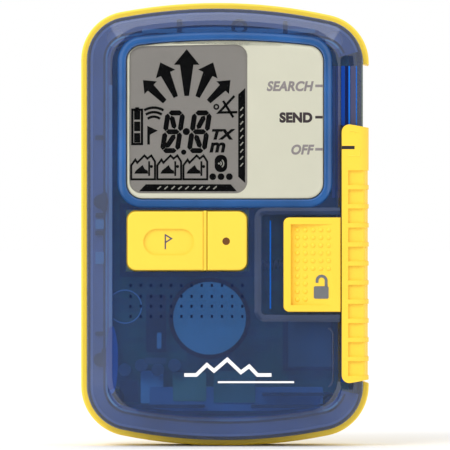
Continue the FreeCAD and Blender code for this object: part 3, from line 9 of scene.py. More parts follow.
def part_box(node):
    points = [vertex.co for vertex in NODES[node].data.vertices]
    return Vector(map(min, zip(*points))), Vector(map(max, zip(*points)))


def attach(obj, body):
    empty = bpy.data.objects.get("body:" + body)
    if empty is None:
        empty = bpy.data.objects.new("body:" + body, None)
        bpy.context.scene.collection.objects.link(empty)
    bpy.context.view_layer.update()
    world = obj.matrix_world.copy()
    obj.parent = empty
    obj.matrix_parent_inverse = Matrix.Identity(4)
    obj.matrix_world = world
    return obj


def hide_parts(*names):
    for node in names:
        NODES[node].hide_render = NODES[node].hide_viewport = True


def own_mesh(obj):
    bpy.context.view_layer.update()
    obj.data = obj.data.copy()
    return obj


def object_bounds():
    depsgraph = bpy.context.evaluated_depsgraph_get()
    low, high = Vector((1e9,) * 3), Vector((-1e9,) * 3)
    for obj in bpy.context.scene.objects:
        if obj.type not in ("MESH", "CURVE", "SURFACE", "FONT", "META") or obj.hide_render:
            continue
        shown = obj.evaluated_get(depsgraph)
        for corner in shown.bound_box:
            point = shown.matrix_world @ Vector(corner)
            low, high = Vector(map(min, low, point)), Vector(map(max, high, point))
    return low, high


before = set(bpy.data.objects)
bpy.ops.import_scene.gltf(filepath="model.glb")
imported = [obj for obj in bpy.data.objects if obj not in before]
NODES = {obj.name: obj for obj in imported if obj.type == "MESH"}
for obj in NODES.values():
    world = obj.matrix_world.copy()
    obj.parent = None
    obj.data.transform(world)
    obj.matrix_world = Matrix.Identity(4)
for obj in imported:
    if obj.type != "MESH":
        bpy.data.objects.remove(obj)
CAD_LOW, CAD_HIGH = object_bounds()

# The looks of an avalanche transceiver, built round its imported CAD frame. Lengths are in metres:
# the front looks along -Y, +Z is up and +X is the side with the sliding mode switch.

MM = 0.001
PRINT_DEPTH = 0.03 * MM


# --------------------------------- shaders


def colour(red, green, blue):
    """An sRGB colour given as 0 to 255, as the linear colour that a shader takes."""
    linear = []
    for value in (red, green, blue):
        share = value / 255
        linear.append(share / 12.92 if share <= 0.04045 else ((share + 0.055) / 1.055) ** 2.4)
    return (*linear, 1.0)


def new_material(name):
    """A node material with its Principled shader, and the node tree that holds them."""
    material = bpy.data.materials.new(name)
    material.use_nodes = True
    tree = material.node_tree
    return material, tree, tree.nodes["Principled BSDF"]


def set_inputs(node, values):
    """Sets a node's own sockets, each by its name."""
    for socket, value in values.items():
        node.inputs[socket].default_value = value


def position(tree, stretch=(1, 1, 1)):
    """A socket with the place on the object, stretched by a factor along each axis."""
    place = tree.nodes.new("ShaderNodeTexCoord")
    mapping = tree.nodes.new("ShaderNodeMapping")
    mapping.inputs["Scale"].default_value = stretch
    tree.links.new(place.outputs["Object"], mapping.inputs["Vector"])
    return mapping.outputs["Vector"]


def noise(tree, size, detail, stretch=(1, 1, 1)):
    """A socket of cloudy noise whose patches are about size across."""
    texture = tree.nodes.new("ShaderNodeTexNoise")
    set_inputs(texture, {"Scale": 1 / size, "Detail": detail})
    tree.links.new(position(tree, stretch), texture.inputs["Vector"])
    return texture.outputs["Fac"]


def ramp(tree, source, stops):
    """A socket that turns source into a colour, from (place, colour) stops."""
    node = tree.nodes.new("ShaderNodeValToRGB")
    elements = node.color_ramp.elements
    while len(elements) < len(stops):
        elements.new(0.5)
    for element, (place, shade) in zip(elements, stops):
        element.position = place
        element.color = shade
    tree.links.new(source, node.inputs["Fac"])
    return node.outputs["Color"]


def remap(tree, source, low, high):
    """A socket that carries source, from 0 to 1, onto low to high."""
    node = tree.nodes.new("ShaderNodeMapRange")
    set_inputs(node, {"To Min": low, "To Max": high})
    tree.links.new(source, node.inputs["Value"])
    return node.outputs["Result"]


def bump(tree, shader, source, depth):
    """Raises and lowers the shading of a surface by up to depth."""
    node = tree.nodes.new("ShaderNodeBump")
    node.inputs["Distance"].default_value = depth
    tree.links.new(source, node.inputs["Height"])
    tree.links.new(node.outputs["Normal"], shader.inputs["Normal"])


def darker(shade, share):
    """A colour with its light cut to a share."""
    return (shade[0] * share, shade[1] * share, shade[2] * share, 1.0)


def mottle(tree, shader, source, shade, dark_share):
    """Colours a surface with shade, and where source is low with a darker one."""
    stops = [(0.3, darker(shade, dark_share)), (0.7, shade)]
    tree.links.new(ramp(tree, source, stops), shader.inputs["Base Color"])


def vary_roughness(tree, shader, source, roughness, spread):
    """Lets the roughness follow source, by up to spread on both sides."""
    varied = remap(tree, source, roughness - spread, roughness + spread)
    tree.links.new(varied, shader.inputs["Roughness"])


def see_through(tree, shader, tint, blend, straight, glancing):
    """Lets tinted light pass the shader, whose share grows from a straight look to a glancing one."""
    clear = tree.nodes.new("ShaderNodeBsdfTransparent")
    clear.inputs["Color"].default_value = tint
    weight = tree.nodes.new("ShaderNodeLayerWeight")
    weight.inputs["Blend"].default_value = blend
    mix = tree.nodes.new("ShaderNodeMixShader")
    tree.links.new(remap(tree, weight.outputs["Fresnel"], straight, glancing), mix.inputs["Fac"])
    tree.links.new(clear.outputs["BSDF"], mix.inputs[1])
    tree.links.new(shader.outputs["BSDF"], mix.inputs[2])
    tree.links.new(mix.outputs["Shader"], tree.nodes["Material Output"].inputs["Surface"])


def moulded_plastic(name, shade, roughness=0.4, grain=0.25 * MM, depth=0.006 * MM, sheen=0.5):
    """Injection moulded plastic: faint flow clouds, a fine spark-eroded grain and a soft gloss."""
    material, tree, shader = new_material(name)
    mottle(tree, shader, noise(tree, 18 * MM, detail=4), shade, dark_share=0.955)
    vary_roughness(tree, shader, noise(tree, 5 * MM, detail=3), roughness, spread=0.05)
    shader.inputs["Specular IOR Level"].default_value = sheen
    bump(tree, shader, noise(tree, grain, detail=2), depth)
    return material


def printed_ink(name, shade, roughness=0.5, sheen=0.5):
    """Pad-printed ink with a slightly uneven film."""
    material, tree, shader = new_material(name)
    mottle(tree, shader, noise(tree, 1.2 * MM, detail=3), shade, dark_share=0.9)
    set_inputs(shader, {"Roughness": roughness, "Specular IOR Level": sheen})
    bump(tree, shader, noise(tree, 0.15 * MM, detail=2), 0.003 * MM)
    return material


def metal(name, shade, roughness=0.3):
    """Plated or machined metal with fine marks that lie level."""
    material, tree, shader = new_material(name)
    marks = noise(tree, 0.35 * MM, detail=4, stretch=(1, 1, 8))
    mottle(tree, shader, marks, shade, dark_share=0.8)
    vary_roughness(tree, shader, marks, roughness, spread=0.08)
    shader.inputs["Metallic"].default_value = 1.0
    bump(tree, shader, marks, 0.004 * MM)
    return material


def tinted_clear(name, tint, haze_shade, haze_share, roughness, coat=2.8):
    """See-through coloured plastic: tinted light passes it, with a clouded haze under a glossy coat."""
    material, tree, shader = new_material(name)
    clouds = noise(tree, 14 * MM, detail=3)
    stops = [(0.35, darker(haze_shade, 0.7)), (0.65, haze_shade)]
    tree.links.new(ramp(tree, clouds, stops), shader.inputs["Base Color"])
    set_inputs(shader, {"Roughness": roughness, "Coat IOR": coat})
    set_inputs(shader, {"Coat Weight": 1.0, "Coat Roughness": 0.06})
    bump(tree, shader, noise(tree, 0.4 * MM, detail=2), 0.002 * MM)
    see_through(tree, shader, tint, blend=0.35, straight=haze_share, glancing=min(1.0, haze_share + 0.8))
    return material


def lens_plastic(name):
    """Clear polished plastic: nearly all light passes, with a gloss at glancing angles."""
    material, tree, shader = new_material(name)
    set_inputs(shader, {"Base Color": colour(20, 20, 22), "Roughness": 0.12})
    bump(tree, shader, noise(tree, 3 * MM, detail=2), 0.004 * MM)
    see_through(tree, shader, (0.97, 0.98, 0.98, 1), blend=0.2, straight=0.01, glancing=0.7)
    return material


def circuit_board(name):
    """Solder mask over copper: blocks of slightly different green, and pale traces between them."""
    blocks_per_metre = 120
    material, tree, shader = new_material(name)
    blocks = tree.nodes.new("ShaderNodeTexBrick")
    values = {
        "Scale": blocks_per_metre,
        "Color1": colour(28, 112, 78),
        "Color2": colour(18, 84, 66),
        "Mortar": colour(34, 120, 84),
        "Mortar Size": 0.01,
    }
    set_inputs(blocks, values)
    upright = tree.nodes.new("ShaderNodeMapping")
    upright.inputs["Rotation"].default_value = (math.radians(90), 0, 0)
    tree.links.new(position(tree), upright.inputs["Vector"])
    tree.links.new(upright.outputs["Vector"], blocks.inputs["Vector"])
    tree.links.new(blocks.outputs["Color"], shader.inputs["Base Color"])
    shader.inputs["Roughness"].default_value = 0.35
    bump(tree, shader, blocks.outputs["Fac"], 0.03 * MM)
    return material


def liquid_crystal(name):
    """The grey reflector behind a liquid crystal: a fine sparkle in a warm grey."""
    material, tree, shader = new_material(name)
    sparkle = noise(tree, 0.12 * MM, detail=2)
    stops = [(0.25, colour(140, 134, 129)), (0.75, colour(168, 160, 154))]
    tree.links.new(ramp(tree, sparkle, stops), shader.inputs["Base Color"])
    set_inputs(shader, {"Roughness": 0.45, "Specular IOR Level": 0.3})
    bump(tree, shader, sparkle, 0.003 * MM)
    return material


def wound_wire(name):
    """Enamelled copper wire laid side by side: round ridges across the winding."""
    ridges_per_metre = 900
    material, tree, shader = new_material(name)
    wave = tree.nodes.new("ShaderNodeTexWave")
    wave.bands_direction = "DIAGONAL"
    set_inputs(wave, {"Scale": ridges_per_metre, "Distortion": 0.4})
    tree.links.new(position(tree), wave.inputs["Vector"])
    stops = [(0.1, colour(92, 42, 20)), (0.6, colour(196, 104, 54))]
    tree.links.new(ramp(tree, wave.outputs["Fac"], stops), shader.inputs["Base Color"])
    set_inputs(shader, {"Metallic": 0.7, "Roughness": 0.32})
    bump(tree, shader, wave.outputs["Fac"], 0.05 * MM)
    return material


def battery_wrap(name, low, high):
    """A cell's plain wrapper: dark along most of its height, a gold band, and bare steel at the ends."""
    material, tree, shader = new_material(name)
    parts = tree.nodes.new("ShaderNodeSeparateXYZ")
    tree.links.new(position(tree), parts.inputs["Vector"])
    height = tree.nodes.new("ShaderNodeMapRange")
    set_inputs(height, {"From Min": low, "From Max": high})
    tree.links.new(parts.outputs["Z"], height.inputs["Value"])
    steel, wrap, band = colour(190, 190, 188), colour(38, 44, 54), colour(196, 150, 70)
    bands = ramp(tree, height.outputs["Result"], [(0.0, steel), (0.02, wrap), (0.68, band), (0.94, steel)])
    bands.node.color_ramp.interpolation = "CONSTANT"
    tree.links.new(bands, shader.inputs["Base Color"])
    shader.inputs["Metallic"].default_value = 0.6
    vary_roughness(tree, shader, noise(tree, 2 * MM, detail=3), roughness=0.3, spread=0.08)
    bump(tree, shader, noise(tree, 0.3 * MM, detail=2), 0.004 * MM)
    return material


CELL_LOW, CELL_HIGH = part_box("battery_cell_1")
MATERIALS = {
    "yellow_plastic": moulded_plastic("yellow_case_plastic", colour(253, 210, 56), 0.42),
    "yellow_key": moulded_plastic("yellow_key_rubber", colour(249, 210, 62), 0.5, 0.2 * MM),
    "clear_blue_plastic": tinted_clear(
        "clear_blue_cover", (0.5, 0.72, 0.92, 1), colour(40, 76, 138), 0.26, 0.3
    ),
    "seal_rubber": moulded_plastic("seal_rubber", colour(34, 36, 44), 0.7, 0.3 * MM, 0.02 * MM),
    "steel": metal("plated_steel", colour(190, 192, 196)),
    "brass": metal("knurled_brass", colour(206, 168, 88)),
    "clear_lens": lens_plastic("clear_lens"),
    "printed_panel": moulded_plastic(
        "printed_panel", colour(236, 232, 210), 0.6, 0.3 * MM, 0.002 * MM, 0.3
    ),
    "lcd": liquid_crystal("liquid_crystal"),
    "dark_plastic": moulded_plastic("dark_inner_plastic", colour(52, 48, 62), 0.5),
    "sounder_blue": moulded_plastic("sounder_case", colour(146, 208, 228), 0.5),
    "dark_ring": moulded_plastic("sounder_ring", colour(40, 24, 44), 0.6),
    "circuit_board": circuit_board("circuit_board"),
    "chip": moulded_plastic("chip_epoxy", colour(30, 30, 33), 0.45, 0.2 * MM, 0.01 * MM),
    "aluminium_can": metal("capacitor_can", colour(214, 216, 220), 0.25),
    "ferrite": moulded_plastic("ferrite", colour(58, 58, 62), 0.55, 0.4 * MM, 0.03 * MM),
    "copper_wire": wound_wire("copper_wire"),
    "battery_can": battery_wrap("battery_wrap", CELL_LOW.z, CELL_HIGH.z),
    "light_pipe": moulded_plastic("light_window", colour(112, 70, 30), 0.2, 0.2 * MM, 0.002 * MM, 0.7),
    "black_plastic": moulded_plastic("black_mark", colour(38, 34, 36), 0.5),
}
for node in NODES.values():
    for place, used in enumerate(node.data.materials):
        node.data.materials[place] = MATERIALS[used.name]

# Three nodes look unlike the rest of their slot.
CASE_YELLOW = moulded_plastic("case_yellow_plastic", colour(255, 219, 66), 0.42)
MODULE_GREEN = moulded_plastic("module_mask", colour(84, 150, 130), 0.4)
NODES["rear_case"].data.materials[0] = CASE_YELLOW
NODES["radio_shield"].data.materials[0] = MATERIALS["dark_ring"]
NODES["wireless_module"].data.materials[0] = MODULE_GREEN

# Light reaches what lies under the clear cover.
NODES["front_cover"].visible_shadow = False

# Inks.
BLACK_INK = printed_ink("lcd_black", colour(12, 12, 13), 0.6, 0.08)
LCD_PALE = printed_ink("lcd_pale", colour(176, 171, 161), 0.45)
DARK_INK = printed_ink("dark_ink", colour(66, 52, 56))
GREY_INK = printed_ink("grey_ink", colour(160, 150, 150))
WHITE_INK = printed_ink("white_ink", colour(250, 250, 250))
SIGN_INK = printed_ink("sign_ink", colour(78, 74, 100))
PADLOCK_INK = printed_ink("padlock_ink", colour(108, 110, 112))
DOT_INK = printed_ink("dot_ink", colour(12, 26, 60), 0.6, 0.1)

# Raised parts of the clear cover.
FRAME_BLUE = tinted_clear("pale_blue_frame", (0.4, 0.7, 0.95, 1), colour(36, 108, 184), 0.66, 0.3, 1.6)
LIP_BLUE = tinted_clear("lip_blue", (0.5, 0.7, 0.92, 1), colour(50, 76, 122), 0.42, 0.45, 1.7)

# The floor of the switch's channel: painted light, painted shade and painted highlight lines, and the
# violet of its wall.
CHANNEL_PAINTED_LIGHT = moulded_plastic("channel_painted_light", colour(0, 66, 168), 0.35, sheen=0.2)
CHANNEL_PAINTED_SHADE = moulded_plastic("channel_painted_shade", colour(0, 22, 84), 0.35, sheen=0.2)
PAINTED_HIGHLIGHT_BLUE = moulded_plastic("painted_highlight_blue", colour(0, 112, 226), 0.35, sheen=0.2)
WALL_VIOLET = moulded_plastic("wall_violet", colour(74, 76, 108), 0.35, sheen=0.2)

# What shows through the clear cover, and painted light and shade seen through it.
SLOPE_PAINTED_LIGHT = moulded_plastic("slope_painted_light_violet", colour(126, 134, 184), 0.6)
# Painted light, for where light gathers in the cover's thick edge.
PAINTED_LIGHT_BLUE = moulded_plastic("painted_light_blue", colour(20, 120, 215), 0.6)
PAINTED_LIGHT_VIOLET = moulded_plastic("painted_light_violet", colour(190, 170, 235), 0.6)
PAINTED_LIGHT_DEEP_VIOLET = moulded_plastic("painted_light_deep_violet", colour(120, 100, 225), 0.6)
FIELD_BLUE = moulded_plastic("field_blue", colour(110, 150, 200), 0.6)
FIELD_GREEN = moulded_plastic("field_green", colour(130, 180, 150), 0.6)
# These two serve inner parts, and also painted shade and painted light lines behind the cover.
DARK_PART_AND_SHADE = moulded_plastic("dark_part_and_shade", colour(20, 14, 26), 0.6)
SKY_PART_AND_LIGHT = moulded_plastic("sky_part_and_light", colour(150, 200, 235), 0.5)
SLATE_PART = moulded_plastic("slate_part", colour(96, 110, 122), 0.5)
PALE_PART = moulded_plastic("pale_mask", colour(120, 170, 150), 0.5)


# --------------------------- mesh building


def new_object(name, data):
    """A new object of the scene."""
    item = bpy.data.objects.new(name, data)
    bpy.context.scene.collection.objects.link(item)
    return item


def mesh_object(name, mesh):
    """A new object of the scene with the shape of a bmesh, which is then freed."""
    data = bpy.data.meshes.new(name)
    mesh.to_mesh(data)
    mesh.free()
    return new_object(name, data)


def piece(name, mesh, material, body="housing", smooth=None):
    """Turns a bmesh into a piece of the object that rides on a CAD body, in a material slot."""
    bmesh.ops.recalc_face_normals(mesh, faces=mesh.faces)
    item = mesh_object(name, mesh)
    item.data.materials.append(material)
    if smooth is not None:
        for face in item.data.polygons:
            face.use_smooth = True
        item.data.set_sharp_from_angle(angle=math.radians(smooth))
    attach(item, body)
    return item


def bridge(mesh, row, following):
    """Joins two closed rows of as many vertices with a band of four-sided faces."""
    count = len(row)
    for index in range(count):
        after = (index + 1) % count
        mesh.faces.new((row[index], row[after], following[after], following[index]))


def plate(mesh, outline, front, back):
    """Adds a flat plate with an outline of (x, z) points, from y = front to y = back."""
    near = [mesh.verts.new((x, front, z)) for x, z in outline]
    far = [mesh.verts.new((x, back, z)) for x, z in outline]
    mesh.faces.new(near)
    mesh.faces.new(list(reversed(far)))
    bridge(mesh, near, far)


def side_points(points, width, closed):
    """The mitred points at half of width on both sides of a line."""
    shortest_mitre = 0.35
    left, right = [], []
    count = len(points)
    for index, point in enumerate(points):
        point = Vector(point)
        ways = []
        if closed or index > 0:
            ways.append((point - Vector(points[index - 1])).normalized())
        if closed or index < count - 1:
            ways.append((Vector(points[(index + 1) % count]) - point).normalized())
        along = sum(ways, Vector((0, 0))).normalized()
        across = Vector((-along.y, along.x))
        stretch = 1 / max(shortest_mitre, across.dot(Vector((-ways[0].y, ways[0].x))))
        left.append(point + across * width / 2 * stretch)
        right.append(point - across * width / 2 * stretch)
    return left, right


def stroke(mesh, points, width, front, back, closed=False):
    """Adds a raised line of the given width through (x, z) points."""
    left, right = side_points(points, width, closed)
    count = len(points)
    for index in range(count if closed else count - 1):
        following = (index + 1) % count
        plate(mesh, [left[index], left[following], right[following], right[index]], front, back)


def circle(centre, radius, count=32, start=0.0, end=360.0):
    """The (x, z) points of a circle, or of an arc from start to end in degrees."""
    whole = end - start >= 360
    steps = count if whole else count - 1
    points = []
    for index in range(count):
        angle = math.radians(start + (end - start) * index / steps)
        points.append((centre[0] + radius * math.cos(angle), centre[1] + radius * math.sin(angle)))
    return points


def rounded(low, high, radius, count=8):
    """The (x, z) points of a rectangle with round corners."""
    corners = [
        (high[0] - radius, high[1] - radius, 0),
        (low[0] + radius, high[1] - radius, 90),
        (low[0] + radius, low[1] + radius, 180),
        (high[0] - radius, low[1] + radius, 270),
    ]
    points = []
    for x, z, turn in corners:
        points += circle((x, z), radius, count, turn, turn + 90)
    return points


def in_metres(points, origin=(0, 0)):
    """Points given in millimetres from an origin, itself in millimetres, as metres."""
    return [((x + origin[0]) * MM, (z + origin[1]) * MM) for x, z in points]


def surface(node, x, z):
    """How far back the front surface of a CAD node lies at (x, z)."""
    start = Vector((x, CAD_LOW.y - 10 * MM, z))
    found, place, _, _ = NODES[node].ray_cast(start, Vector((0, 1, 0)))
    if not found:
        raise ValueError(f"nothing of {node} lies at {x}, {z}")
    return place.y


def solid_of(curve):
    """The mesh that a curve or text makes. The curve itself is then removed."""
    holder = new_object(curve.name, curve)
    bpy.context.view_layer.update()
    drawn = holder.evaluated_get(bpy.context.evaluated_depsgraph_get())
    solid = bpy.data.meshes.new_from_object(drawn)
    bpy.data.objects.remove(holder)
    bpy.data.curves.remove(curve)
    return solid


def lettering(mesh, words, right, base, height, front, slant, weight, stretch):
    """Adds words in a plain face that end at x = right and stand on z = base, height tall."""
    capital_share = 0.7
    text = bpy.data.curves.new("words", "FONT")
    text.body = words
    text.size = height / capital_share
    text.shear = slant
    text.offset = weight
    text.extrude = PRINT_DEPTH / 2
    text.space_character = 1.05
    text.align_x = "RIGHT"
    solid = solid_of(text)
    solid.transform(Matrix.Scale(stretch, 4, (1, 0, 0)))
    solid.transform(Matrix.Rotation(math.radians(90), 4, "X"))
    solid.transform(Matrix.Translation((right, front, base)))
    mesh.from_mesh(solid)
    bpy.data.meshes.remove(solid)


# ----------------------------- the display


LCD_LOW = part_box("lcd_glass")[0]
LCD_CORNER = (LCD_LOW.x / MM, LCD_LOW.z / MM)


class Lcd:
    """Draws segments on the liquid crystal, in millimetres from its lower left corner."""

    def __init__(self, lift=0.0):
        self.mesh = bmesh.new()
        self.front = LCD_LOW.y - PRINT_DEPTH - lift
        self.back = LCD_LOW.y + PRINT_DEPTH

    def fill(self, outline):
        """A filled outline."""
        plate(self.mesh, in_metres(outline, LCD_CORNER), self.front, self.back)

    def line(self, points, width, closed=False):
        """A line of even width."""
        stroke(self.mesh, in_metres(points, LCD_CORNER), width * MM, self.front, self.back, closed)

    def dot(self, centre, radius):
        """A filled circle."""
        self.fill(circle(centre, radius, 24))

    def arrow(self, foot, tip, head_half, head_length, neck_half, foot_half):
        """An arrow whose shaft widens towards its head."""
        start, end = Vector(foot), Vector(tip)
        along = (end - start).normalized()
        across = Vector((-along.y, along.x))
        neck = end - along * head_length
        outline = [start + across * foot_half, neck + across * neck_half, neck + across * head_half, end]
        outline += [neck - across * head_half, neck - across * neck_half, start - across * foot_half]
        self.fill(outline)

    def bar(self, start, end, thickness):
        """A segment with pointed ends."""
        a, b = Vector(start), Vector(end)
        along = (b - a).normalized()
        across = Vector((-along.y, along.x)) * thickness / 2
        cut = along * thickness / 2
        self.fill([a, a + cut + across, b - cut + across, b, b - cut - across, a + cut - across])


def draw_arrows(lcd):
    """Five direction arrows that fan out from the middle."""
    axis = 15.75
    lcd.arrow((axis, 26.7), (axis, 39.1), 3.4, 4.15, 1.8, 0.62)
    for side in (-1, 1):
        lcd.arrow((axis + side * 2.87, 26.4), (axis + side * 7.0, 35.6), 2.83, 3.4, 1.35, 0.62)
        lcd.arrow((axis + side * 5.8, 25.2), (axis + side * 11.6, 30.9), 2.38, 2.9, 1.1, 0.68)


def draw_digit(lcd, left, base, diagonals):
    """An eight made of slanted segments, with two diagonal ones."""
    width, height, thickness, lean = 4.9, 11.0, 1.35, 0.15
    edge, middle, tip = 0.5, height / 2, 0.12
    bars = []
    for level in (edge, middle, height - edge):
        bars.append(((edge + tip, level), (width - edge - tip, level)))
    for side in (edge, width - edge):
        bars.append(((side, edge + tip), (side, middle - tip)))
        bars.append(((side, middle + tip), (side, height - edge - tip)))
    bars += diagonals
    for start, end in bars:
        a = (left + start[0] + lean * start[1], base + start[1])
        b = (left + end[0] + lean * end[1], base + end[1])
        lcd.bar(a, b, thickness)


def draw_digits(lcd):
    """Two digits, a dot between them and the decimal point."""
    left, base, pitch = 8.75, 11.7, 7.1
    draw_digit(lcd, left, base, [((1.5, 9.8), (2.9, 6.2)), ((3.2, 4.8), (1.3, 1.2))])
    draw_digit(lcd, left + pitch, base, [((3.2, 9.8), (1.8, 6.2)), ((1.5, 4.8), (3.4, 1.2))])
    lcd.dot((15.65, 17.25), 0.95)
    lcd.dot((14.95, 11.8), 0.7)


def draw_battery(lcd):
    """An upright battery with three charge blocks."""
    left, right, base, top = 1.35, 3.9, 13.95, 23.05
    lcd.line([(left, base), (right, base), (right, top), (left, top)], 0.62, True)
    lcd.fill([(2.1, top), (3.15, top), (3.15, top + 0.65), (2.1, top + 0.65)])
    step = (top - base) / 3
    for index in range(3):
        low = base + index * step + 0.38
        high = low + step - 0.5
        lcd.fill([(left + 0.45, low), (right - 0.45, low), (right - 0.45, high), (left + 0.45, high)])


def draw_signal(lcd):
    """Three arcs of a signal, and a small flag under them."""
    centre = (7.05, 18.6)
    for radius, spread in ((5.0, 31), (3.8, 34), (2.6, 39)):
        lcd.line(circle(centre, radius, 12, 90 - spread, 90 + spread), 0.68)
    lcd.fill([(5.3, 13.8), (6.0, 13.8), (6.0, 16.4), (8.1, 17.5), (5.3, 18.8)])


def draw_angle(lcd):
    """An angle sign crossed by a short stroke, with a small ring above it."""
    lcd.line(circle((23.6, 23.8), 0.58, 16), 0.45, True)
    lcd.line([(28.4, 26.7), (24.3, 22.3), (29.2, 22.4)], 0.66)
    lcd.line([(25.4, 25.4), (28.1, 21.0)], 0.66)


def draw_slopes(lcd):
    """Three boxed icons of a mountain side with a marker pole."""
    outline = [(0, 0), (0, 3.7), (1.1, 5.2), (1.6, 4.4), (3.5, 6.3)]
    outline += [(4.3, 5.5), (5.3, 6.3), (6.3, 4.7), (6.3, 0)]
    hill = [(0.8, 1.5), (1.2, 2.3), (3.0, 3.8), (3.6, 2.7), (4.4, 2.3), (4.5, 1.5)]
    first, base, pitch = 1.05, 4.6, 6.92
    for index in range(3):
        left = first + index * pitch
        lcd.line([(left + x, base + z) for x, z in outline], 0.56, True)
        lcd.fill([(left + x, base + z) for x, z in hill])
        lcd.line([(left + 4.75, base + 0.9), (left + 4.75, base + 4.8)], 0.5)
        lcd.dot((left + 5.35, base + 3.4), 0.42)


def draw_link(lcd):
    """A dark capsule for a pale signal sign, and three dots under it."""
    lcd.fill(rounded((23.15, 6.5), (26.5, 11.1), 1.6))
    left, pitch = 22.65, 2.2
    for index in range(3):
        lcd.dot((left + index * pitch, 5.3), 0.9)


def draw_bars(lcd):
    """A dark bar with slanted ends along the lower edge, and one along the right edge."""
    lcd.fill([(3.1, 1.4), (29.1, 1.4), (27.4, 3.3), (4.9, 3.3)])
    lcd.fill([(31.25, 28.8), (29.4, 27.1), (29.4, 5.3), (31.25, 3.6)])


def draw_pale_marks(lcd):
    """What shows pale on the dark bars and on the capsule."""
    first, pitch = 8.0, 1.85
    for index in range(9):
        start = first + index * pitch
        lcd.line([(start, 2.0), (start + 0.9, 2.75)], 0.3)
        lcd.line([(29.95, start), (30.7, start + 0.9)], 0.3)
    sign = (24.3, 8.8)
    for radius in (0.6, 1.25):
        lcd.line(circle(sign, radius, 10, -50, 50), 0.3)
    lcd.dot(sign, 0.24)


def build_display():
    """The dark segments with the units beside the digits, and the pale marks on them."""
    lcd = Lcd()
    draw_arrows(lcd)
    draw_digits(lcd)
    draw_battery(lcd)
    draw_signal(lcd)
    draw_angle(lcd)
    draw_slopes(lcd)
    draw_link(lcd)
    draw_bars(lcd)
    for words, right, base, height, slant, stretch in (
        ("TX", 27.6, 15.3, 2.5, 0.22, 1.16),
        ("m", 25.8, 11.9, 3.5, 0.2, 1.06),
    ):
        place = (LCD_LOW.x + right * MM, LCD_LOW.z + base * MM)
        lettering(lcd.mesh, words, *place, height * MM, lcd.front, slant, 0.2 * MM, stretch)
    piece("lcd_segments", lcd.mesh, BLACK_INK)

    pale = Lcd(lift=PRINT_DEPTH / 2)
    draw_pale_marks(pale)
    piece("lcd_pale_marks", pale.mesh, LCD_PALE)


def build_mode_labels():
    """Mode names printed beside the switch, each with a tick that points at its position."""
    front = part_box("display_panel")[0].y
    words_right, tick_left, tick_right = 23.1, 23.9, 25.9
    for words, base, chosen in (("SEARCH", 94.4, False), ("SEND", 86.1, True), ("OFF", 77.6, False)):
        mesh = bmesh.new()
        slant, weight, stretch = (0.0, 0.2, 0.98) if chosen else (0.22, 0.15, 0.93)
        lettering(
            mesh, words, words_right * MM, base * MM, 2.4 * MM, front, slant, weight * MM, stretch
        )
        low, high = base + 0.9, base + 1.6
        tick = [(tick_left, low), (tick_right, low), (tick_right, high), (tick_left, high)]
        plate(mesh, in_metres(tick), front - PRINT_DEPTH / 2, front + PRINT_DEPTH / 2)
        ink = DARK_INK if chosen else GREY_INK
        piece("mode_label_" + words.lower(), mesh, ink)


build_display()
build_mode_labels()


# -------------------- keys and lock button


def build_key_sign():
    """An outlined flag printed in the dish of the marking key."""
    mesh = bmesh.new()
    front = surface("mark_key", -15.5 * MM, 54 * MM) - PRINT_DEPTH
    flag = [(-15.8, 52.4), (-15.8, 56.2), (-14.15, 55.2), (-15.7, 54.2)]
    stroke(mesh, in_metres(flag), 0.36 * MM, front, front + 0.1 * MM)
    piece("key_flag_sign", mesh, SIGN_INK, body="mark_button")


def build_padlock():
    """An open padlock on the lock button, which leans with the slope under it."""
    mesh = bmesh.new()
    left, right, z = 24 * MM, 27.2 * MM, 41 * MM
    face = surface("lock_button", right, z)
    lean = (surface("lock_button", left, z) - face) / (right - left)
    front, back = face - 0.12 * MM, face + 0.05 * MM
    plate(mesh, in_metres(rounded((23.5, 39.3), (27.4, 42.6), 0.4)), front, back)
    shackle = [(26.75, 42.5), (26.75, 44.0), *circle((25.55, 44.1), 1.2, 12, 0, 180), (24.35, 43.5)]
    stroke(mesh, in_metres(shackle), 0.75 * MM, front, back)
    for vertex in mesh.verts:
        vertex.co.y += (right - vertex.co.x) * lean
    piece("padlock_sign", mesh, PADLOCK_INK, body="lock")


def dome(mesh, centre, radius, height, rings=4, count=16):
    """Adds a low dome that rises from centre towards the front."""
    rows = []
    for step in range(rings):
        angle = math.radians(90 * step / rings)
        spread, rise = radius * math.cos(angle), height * math.sin(angle)
        points = circle((centre.x, centre.z), spread, count)
        rows.append([mesh.verts.new((x, centre.y - rise, z)) for x, z in points])
    top = mesh.verts.new((centre.x, centre.y - height, centre.z))
    for lower, upper in zip(rows, rows[1:]):
        bridge(mesh, lower, upper)
    for index in range(count):
        mesh.faces.new((rows[-1][index], rows[-1][(index + 1) % count], top))
    mesh.faces.new(list(reversed(rows[0])))


def build_lock_grip():
    """Rows of small domes on the thumb ramp; the lowest rows leave room for the padlock."""
    mesh = bmesh.new()
    left, top, pitch_x, pitch_z = 19.2, 57.5, 2.06, 2.04
    for row in range(10):
        for column in range(5 if row < 6 else 2):
            x, z = (left + column * pitch_x) * MM, (top - row * pitch_z) * MM
            foot = Vector((x, surface("lock_button", x, z) + 0.05 * MM, z))
            dome(mesh, foot, radius=0.66 * MM, height=0.4 * MM)
    yellow = MATERIALS["yellow_plastic"]
    piece("lock_grip_domes", mesh, yellow, body="lock", smooth=50)


build_key_sign()
build_padlock()
build_lock_grip()


# ---------------------- marks on the cover


def build_cover_dots():
    """A grid of small dark dots over the sounder."""
    mesh = bmesh.new()
    left, pitch, half_width, half_height = -25.0, 2.69, 0.3, 0.4
    for z in (42.8, 39.9, 37.3, 34.6):
        for column in range(12):
            x = left + column * pitch
            face = surface("front_cover", x * MM, z * MM)
            low, high = (x - half_width, z - half_height), (x + half_width, z + half_height)
            plate(mesh, in_metres(rounded(low, high, 0.12, 4)), face - 0.02 * MM, face + 0.3 * MM)
    piece("cover_dots", mesh, DOT_INK)


